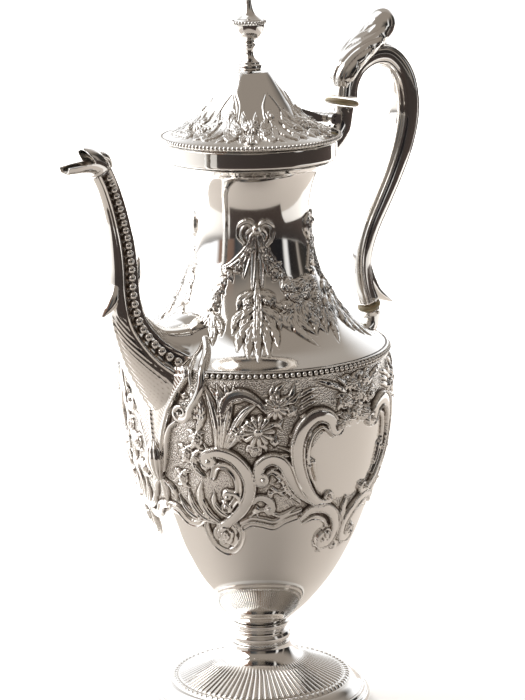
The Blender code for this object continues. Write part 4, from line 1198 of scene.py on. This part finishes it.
LIP = [(-79.5, 235.4, 4.65, 3.5), (-81.0, 237.8, 4.9, 3.9), (-85.0, 239.8, 5.1, 4.4), (-90.5, 240.4, 5.2, 4.5),
       (-96.8, 240.3, 4.9, 3.4)]
lip_outer = loft(LIP, 96, 0.4, 2.3)
lip_inner = loft([(x, z, a - 0.9, b - 0.9) for x, z, a, b in LIP], 96, 1.0)[::-1]
lip = make_net("spout_lip_shell", np.vstack([lip_outer, lip_inner]), "pot", POLISHED, loop=True,
               hollow=np.vstack([np.zeros(lip_outer.shape[:2]), np.full(lip_inner.shape[:2], 0.4)]))
notch = np.array([(-84.6, 239.4), (-103, 238.2), (-103, 249), (-90.6, 248)])
notch_grid = np.stack([np.stack([notch[:, 0], np.full(4, y), notch[:, 1]], -1) for y in (-9.0, 9.0)])
cut(lip, notch_grid[::-1])
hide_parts("spout_lip")

# %% Spout beads, spur and drop
flank_line = evenly(smooth_line(SPOUT[1:], 12), 0.2)
flank_line = flank_line[(flank_line[:, 1] > 157.0) & (flank_line[:, 1] < 234)]
flank_run = lengths(flank_line)
for side, label in ((-1, "left"), (1, "right")):
    centers, radii, at_run = [], [], 1.5
    while at_run < flank_run[-1]:
        x, z, deep, wide = (np.interp(at_run, flank_run, flank_line[:, k]) for k in range(4))
        r = float(np.interp(z, [157, 232], [1.95, 1.3]))
        centers.append((x, side * (wide + 0.55), z))
        radii.append(r * 0.97)
        at_run += 2.02 * r
    # out points away from the spout's middle, so each bead's painted shade lies on the side towards the spout
    row = bead_row(f"spout_beads_{label}", np.array(centers), radii, "pot",
                   np.repeat([[0.0, side, 0.0]], len(centers), 0))
    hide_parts(f"spout_bead_wire_{label}")

SPURS = [[(-74.2, 190.0, 1.6, 3.0), (-75.8, 185.6, 2.4, 4.4), (-78.0, 181.6, 1.9, 3.4), (-80.4, 178.2, 0.5, 0.8)],
         [(-63.9, 186.0, 1.2, 1.8), (-62.9, 191.6, 1.8, 2.4), (-62.0, 196.0, 1.2, 1.7), (-60.9, 199.4, 0.3, 0.4)],
         [(-80.4, 241.4, 2.2, 3.0), (-77.4, 240.6, 2.0, 2.6), (-75.0, 238.6, 1.2, 1.7), (-73.4, 236.0, 0.3, 0.4)]]


def drop_relief(turn, run, line):
    return 0.3 * np.abs(np.sin(turn * 6))


drop_points = loft([(-53.0, 107.6, 0.6, 0.6), (-54.0, 111.0, 2.0, 2.2), (-55.4, 116.0, 2.8, 4.0),
                    (-55.8, 121.0, 2.4, 3.4), (-55.8, 124.6, 0.8, 1.0)], 96, 0.3, 2.0, drop_relief)
drop = make_net("spout_drop", drop_points, "pot", POLISHED, caps=(True, True),
                hollow=relief_shade(drop_points, 0.2))
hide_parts("spout_pendant")


# %% Spout frames
SEAM_HEIGHT = 155.2  # where the shoulder ends and the cup begins


def skin_point(u, z, lift):
    """A point over the cup or shoulder, u mm round from the spout."""
    line = neck_line if z > SEAM_HEIGHT else cup_line
    order = np.argsort(line[:, 1])
    radius = np.interp(z, line[order, 1], line[order, 0]) + lift
    angle = math.pi + u / ROLL_RADIUS
    return radius * math.cos(angle), radius * math.sin(angle), z


def tube(points, radii, columns=20):
    """A round bar along points in space, as a grid of rings with open ends."""
    line = evenly(smooth_line(points, 8), 0.4, dims=3)
    radius = np.interp(np.linspace(0, 1, len(line)), np.linspace(0, 1, len(radii)), radii)[:, None, None]
    slope = np.gradient(line, axis=0)
    slope /= np.linalg.norm(slope, axis=1, keepdims=True)
    out = np.stack([line[:, 0], line[:, 1], 0 * line[:, 0]], 1)
    out -= (out * slope).sum(1, keepdims=True) * slope
    out /= np.linalg.norm(out, axis=1, keepdims=True)
    over = np.cross(slope, out)
    turn = np.linspace(0, math.tau, columns, endpoint=False)
    return (line[:, None] + radius * (np.cos(turn)[None, :, None] * out[:, None]
                                      + np.sin(turn)[None, :, None] * over[:, None]))


def joined(name, grids, body, material):
    """Several closed tubes as one mesh."""
    points, faces, base = [], [], 0
    for grid in grids:
        rows, columns = grid.shape[:2]
        index = base + np.arange(rows * columns).reshape(rows, columns)
        index = np.hstack([index, index[:, :1]])
        faces += np.stack([index[:-1, :-1], index[1:, :-1], index[1:, 1:], index[:-1, 1:]], -1).reshape(-1, 4).tolist()
        faces += [index[0, :-1].tolist(), index[-1, :-1][::-1].tolist()]
        points.append(grid.reshape(-1, 3))
        base += rows * columns
    mesh = bpy.data.meshes.new(name)
    mesh.from_pydata((np.vstack(points) * MM).tolist(), [], faces)
    mesh.shade_smooth()
    return place_piece(name, mesh, body, material)


spurs = joined("spout_spurs", [loft(route, 40, 0.3, 2.0) for route in SPURS], "pot", POLISHED)
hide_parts("spout_spur_leaf")
for side, label in ((-1, "left"), (1, "right")):
    outer_edge = [(16.6, 165.0), (20.2, 161.0), (22.3, 156.0), (22.6, 150.0), (20.8, 144.6), (18.2, 140.2),
                  (17.5, 137.4)]
    spiral = curl(outer_edge[-1], -98, 3.5, -1, 1.4, 0.3, 0.8)
    upper = [skin_point(side * u, z, 1.3) for u, z in [*outer_edge, *spiral[2:]]]
    lower = [skin_point(side * u, z, 1.0) for u, z in [(11.4, 134.0), (8.2, 131.0), (6.0, 125.4), (4.6, 119.0),
                                                       (2.4, 111.8)]]
    inner_edge = [skin_point(side * u, z, 1.0) for u, z in [(15.0, 160.0), (17.4, 155.0), (18.2, 149.0)]]
    bars = [tube(upper, [1.5, 1.7, 1.6, 1.2, 0.8]), tube(lower, [0.6, 1.2, 1.1, 0.7]),
            tube(inner_edge, [0.5, 0.9, 0.6])]
    frame_piece = joined(f"spout_scroll_{label}", bars, "pot", POLISHED)
    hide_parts(f"spout_frame_{label}")

# %% [markdown]
# ## Handle
# The handle is hollow silver, and two discs of ivory-coloured material keep the heat of the coffee from it. Its
# section is a soft square with a line chased along each edge. A big acanthus leaf lies on its top bend for the thumb.

# %% Handle
HANDLE = [(52.2, 250.3, 5.4), (53.5, 256.2, 5.2), (57.6, 261.8, 4.9), (63.4, 265.0, 4.7), (70.0, 266.5, 4.7),
          (76.6, 265.7, 5.0), (82.2, 261.6, 5.4), (86.4, 255.0, 5.8), (88.4, 246.0, 6.0), (88.0, 237.0, 5.9),
          (84.8, 226.0, 5.5), (79.4, 215.0, 5.0), (73.0, 204.6, 4.7), (67.0, 195.0, 4.4), (63.2, 186.0, 4.1),
          (62.2, 177.6, 3.8), (63.6, 169.4, 3.8), (66.0, 162.3, 4.2)]


def handle_relief(turn, run, line):
    corner = np.abs(np.abs((turn - math.pi / 2) % math.pi - math.pi / 2) - math.radians(52))
    return 0.28 * ridge(corner * line[:, 2:3], 0.45) - 0.16 * ridge(corner * line[:, 2:3] - 1.0, 0.4)


def square(route):
    return [(x, z, r, r) for x, z, r in route]


grip_points = loft(square(HANDLE), 96, 0.8, 2.5, handle_relief)
grip = make_net("handle_bow", grip_points, "pot", POLISHED, caps=(True, True),
                hollow=0.6 * relief_shade(grip_points, 0.3))
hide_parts("handle_grip")

UPPER_SOCKET = [(51.44, 246.7, 5.0), (50.9, 243.4, 4.8), (49.8, 238.4, 4.7), (45.6, 233.4, 4.9), (38.6, 229.6, 5.3),
                (27.0, 227.6, 5.9)]
LOWER_SOCKET = [(67.18, 159.0, 4.0), (67.9, 156.4, 3.7), (66.8, 152.4, 3.5), (62.8, 149.0, 3.8), (56.0, 146.8, 4.8),
                (47.0, 145.8, 6.4)]
for name, route, node in (("handle_root_upper", UPPER_SOCKET, "handle_upper_socket"),
                          ("handle_root_lower", LOWER_SOCKET, "handle_lower_socket")):
    root = make_net(name, loft(square(route), 64, 0.6, 2.4), "pot", POLISHED, caps=(True, True))
    cut(root, turned_solid(POT_FORM))
    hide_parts(node)

# %% [markdown]
# ## Thumb leaf and heat breaks
# The leaf is cast and soldered on. Its edge is lobed, a ridge runs up its middle, and its veins slant towards the
# rolled tip. The heat breaks are turned discs, yellowed with age.

# %% Thumb leaf
LEAF = [(50.0, 254.4, 2.4, 3.6), (51.8, 259.2, 4.6, 6.2), (56.2, 264.8, 5.2, 7.0), (62.0, 269.0, 5.2, 7.2),
        (68.0, 272.2, 5.3, 6.6), (72.4, 275.2, 5.9, 6.2), (75.2, 278.6, 6.2, 6.2), (77.2, 281.6, 5.2, 5.2),
        (78.6, 283.7, 3.0, 3.0), (79.1, 284.5, 0.8, 0.8)]


def leaf_relief(turn, run, line):
    share = run / run[-1]
    across = np.minimum(turn, math.tau - turn) * line[:, 3:4]
    top = np.cos(turn) > -0.1
    fade = np.clip((0.80 - share) / 0.12, 0, 1)
    veins = np.abs(np.sin((0.30 * run - across) * math.pi / 3.4)) ** 0.6
    lobes = np.abs(np.sin((run - 3.0) * math.pi / 8.5)) ** 0.5
    edge = ridge(turn - math.pi / 2, 0.35) + ridge(turn - 1.5 * math.pi, 0.35)
    return fade * (top * (0.32 * veins + 0.3 * ridge(across, 0.8)) + edge * (1.0 * lobes - 0.3))


leaf_points = loft(LEAF, 120, 0.3, 2.0, leaf_relief)
thumb = make_net("thumb_leaf_cast", leaf_points, "pot", POLISHED, caps=(True, True),
                 hollow=relief_shade(leaf_points, 0.35))
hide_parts("thumb_leaf")
spur_points = loft([(64.4, 179.0, 2.6, 2.6), (66.4, 171.6, 3.4, 3.2), (70.0, 166.4, 2.9, 2.9), (75.0, 163.0, 1.7, 2.1),
                     (80.6, 160.2, 0.4, 0.5)], 48, 0.3, 2.0)
handle_spur = make_net("handle_spur", spur_points, "pot", POLISHED, caps=(True, True))
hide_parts("handle_spur_leaf")


# %% Heat breaks
def make_ivory():
    material = bpy.data.materials.new("aged_ivory")
    material.use_nodes = True
    tree = material.node_tree
    shader = tree.nodes["Principled BSDF"]
    place = add_node(tree, "ShaderNodeTexCoord").outputs["Object"]
    grain = add_node(tree, "ShaderNodeTexNoise", {"Vector": place, "Scale": 240.0, "Detail": 3.0}).outputs[0]
    tint = ramp(tree, grain, [(0.3, (0.20, 0.155, 0.085)), (0.7, (0.33, 0.265, 0.155))])
    tree.links.new(tint, shader.inputs["Base Color"])
    shader.inputs["Roughness"].default_value = 0.34
    shader.inputs["Subsurface Weight"].default_value = 0.15
    shader.inputs["Subsurface Scale"].default_value = 0.002
    return material


IVORY = make_ivory()
disc_profile = [(0.0, 1.3), (3.0, 1.35), (5.6, 1.3), (6.6, 0.95), (7.1, 0.3), (7.15, -0.3), (6.6, -0.95), (5.6, -1.3),
                (3.0, -1.35), (0.0, -1.3)]
for name, (x, z), size, lean, node in (("heat_break_upper", (51.8, 248.4), 1.0, 12, "handle_upper_insulator"),
                                       ("heat_break_lower", (66.6, 160.6), 0.70, -20, "handle_lower_insulator")):
    flat = turn_profile(evenly(smooth_line([(r * size, h) for r, h in disc_profile], 8), 0.2), 0.0, 96)
    a = math.radians(lean)
    grid = np.stack([x + flat[..., 0] * math.cos(a) + flat[..., 2] * math.sin(a), flat[..., 1],
                     z - flat[..., 0] * math.sin(a) + flat[..., 2] * math.cos(a)], -1)
    disc = make_net(name, grid, "pot", IVORY, caps=(True, True))
    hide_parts(node)

# %% [markdown]
# ## Finial
# A small urn with a beaded rim stands on a waisted foot and ends in a spire with a ball. All of it is turned and
# screwed to the lid from inside.

# %% Finial
pedestal_points = [(0.0, 277.6), (1.9, 277.6), (2.6, 276.5), (2.0, 275.4), (1.6, 273.4), (2.1, 271.8), (3.3, 270.6),
                   (4.1, 269.9), (4.3, 269.2), (4.9, 268.7), (5.0, 267.6), (4.6, 266.9), (5.2, 266.5), (0.0, 266.4)]
pedestal = turned_piece("finial_foot", pedestal_points, "lid", POLISHED, step=0.12, hollow=0.5)
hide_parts("finial_pedestal")
urn = turned_piece("finial_vase", [(0.0, 285.1), (6.0, 285.1), (6.5, 284.9), (6.3, 283.6), (5.6, 281.6), (4.2, 279.7),
                                   (2.8, 278.7), (2.1, 278.2), (2.3, 277.8), (0.0, 277.7)], "lid", POLISHED,
                   step=0.12, hollow=0.5)
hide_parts("finial_urn")
finial_beads = bead_ring("finial_beads", 6.55, 285.9, 0.66, 30, "lid")
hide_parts("finial_bead_rim")
spire = turned_piece("finial_spire_turned", [(0.0, 300.0), (0.5, 299.9), (0.75, 299.4), (1.5, 298.6), (1.75, 297.4),
                                             (1.3, 296.1), (0.9, 295.5), (1.4, 294.9), (1.2, 294.3), (1.35, 292.6),
                                             (1.9, 290.6), (2.9, 288.8), (4.6, 287.4), (5.6, 286.7), (5.4, 286.1),
                                             (0.0, 286.0)], "lid", POLISHED, step=0.12, hollow=0.5)
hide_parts("finial_spire")

# %% [markdown]
# ## Small parts kept from the plain model
# The hinge, its pin, the flange under the lid, the pins through the heat breaks and the finial's screw are right as
# they are. They only need silver on them, and the hinge a softened edge.

# %% Kept parts
for node in ("lid_bezel", "finial_stud", "finial_washer", "finial_nut", "hinge_lid_leaf", "hinge_body_leaf",
             "hinge_pin", "handle_pin_1", "handle_pin_2", "handle_pin_3", "handle_pin_4"):
    kept = bpy.data.objects[node]
    kept.data.materials.clear()
    kept.data.materials.append(POLISHED)
    if node.startswith("hinge_") and node != "hinge_pin":
        soft = kept.modifiers.new("soft_edge", "BEVEL")
        soft.width, soft.segments, soft.limit_method = 0.0002, 2, "ANGLE"
print("kept parts silvered")
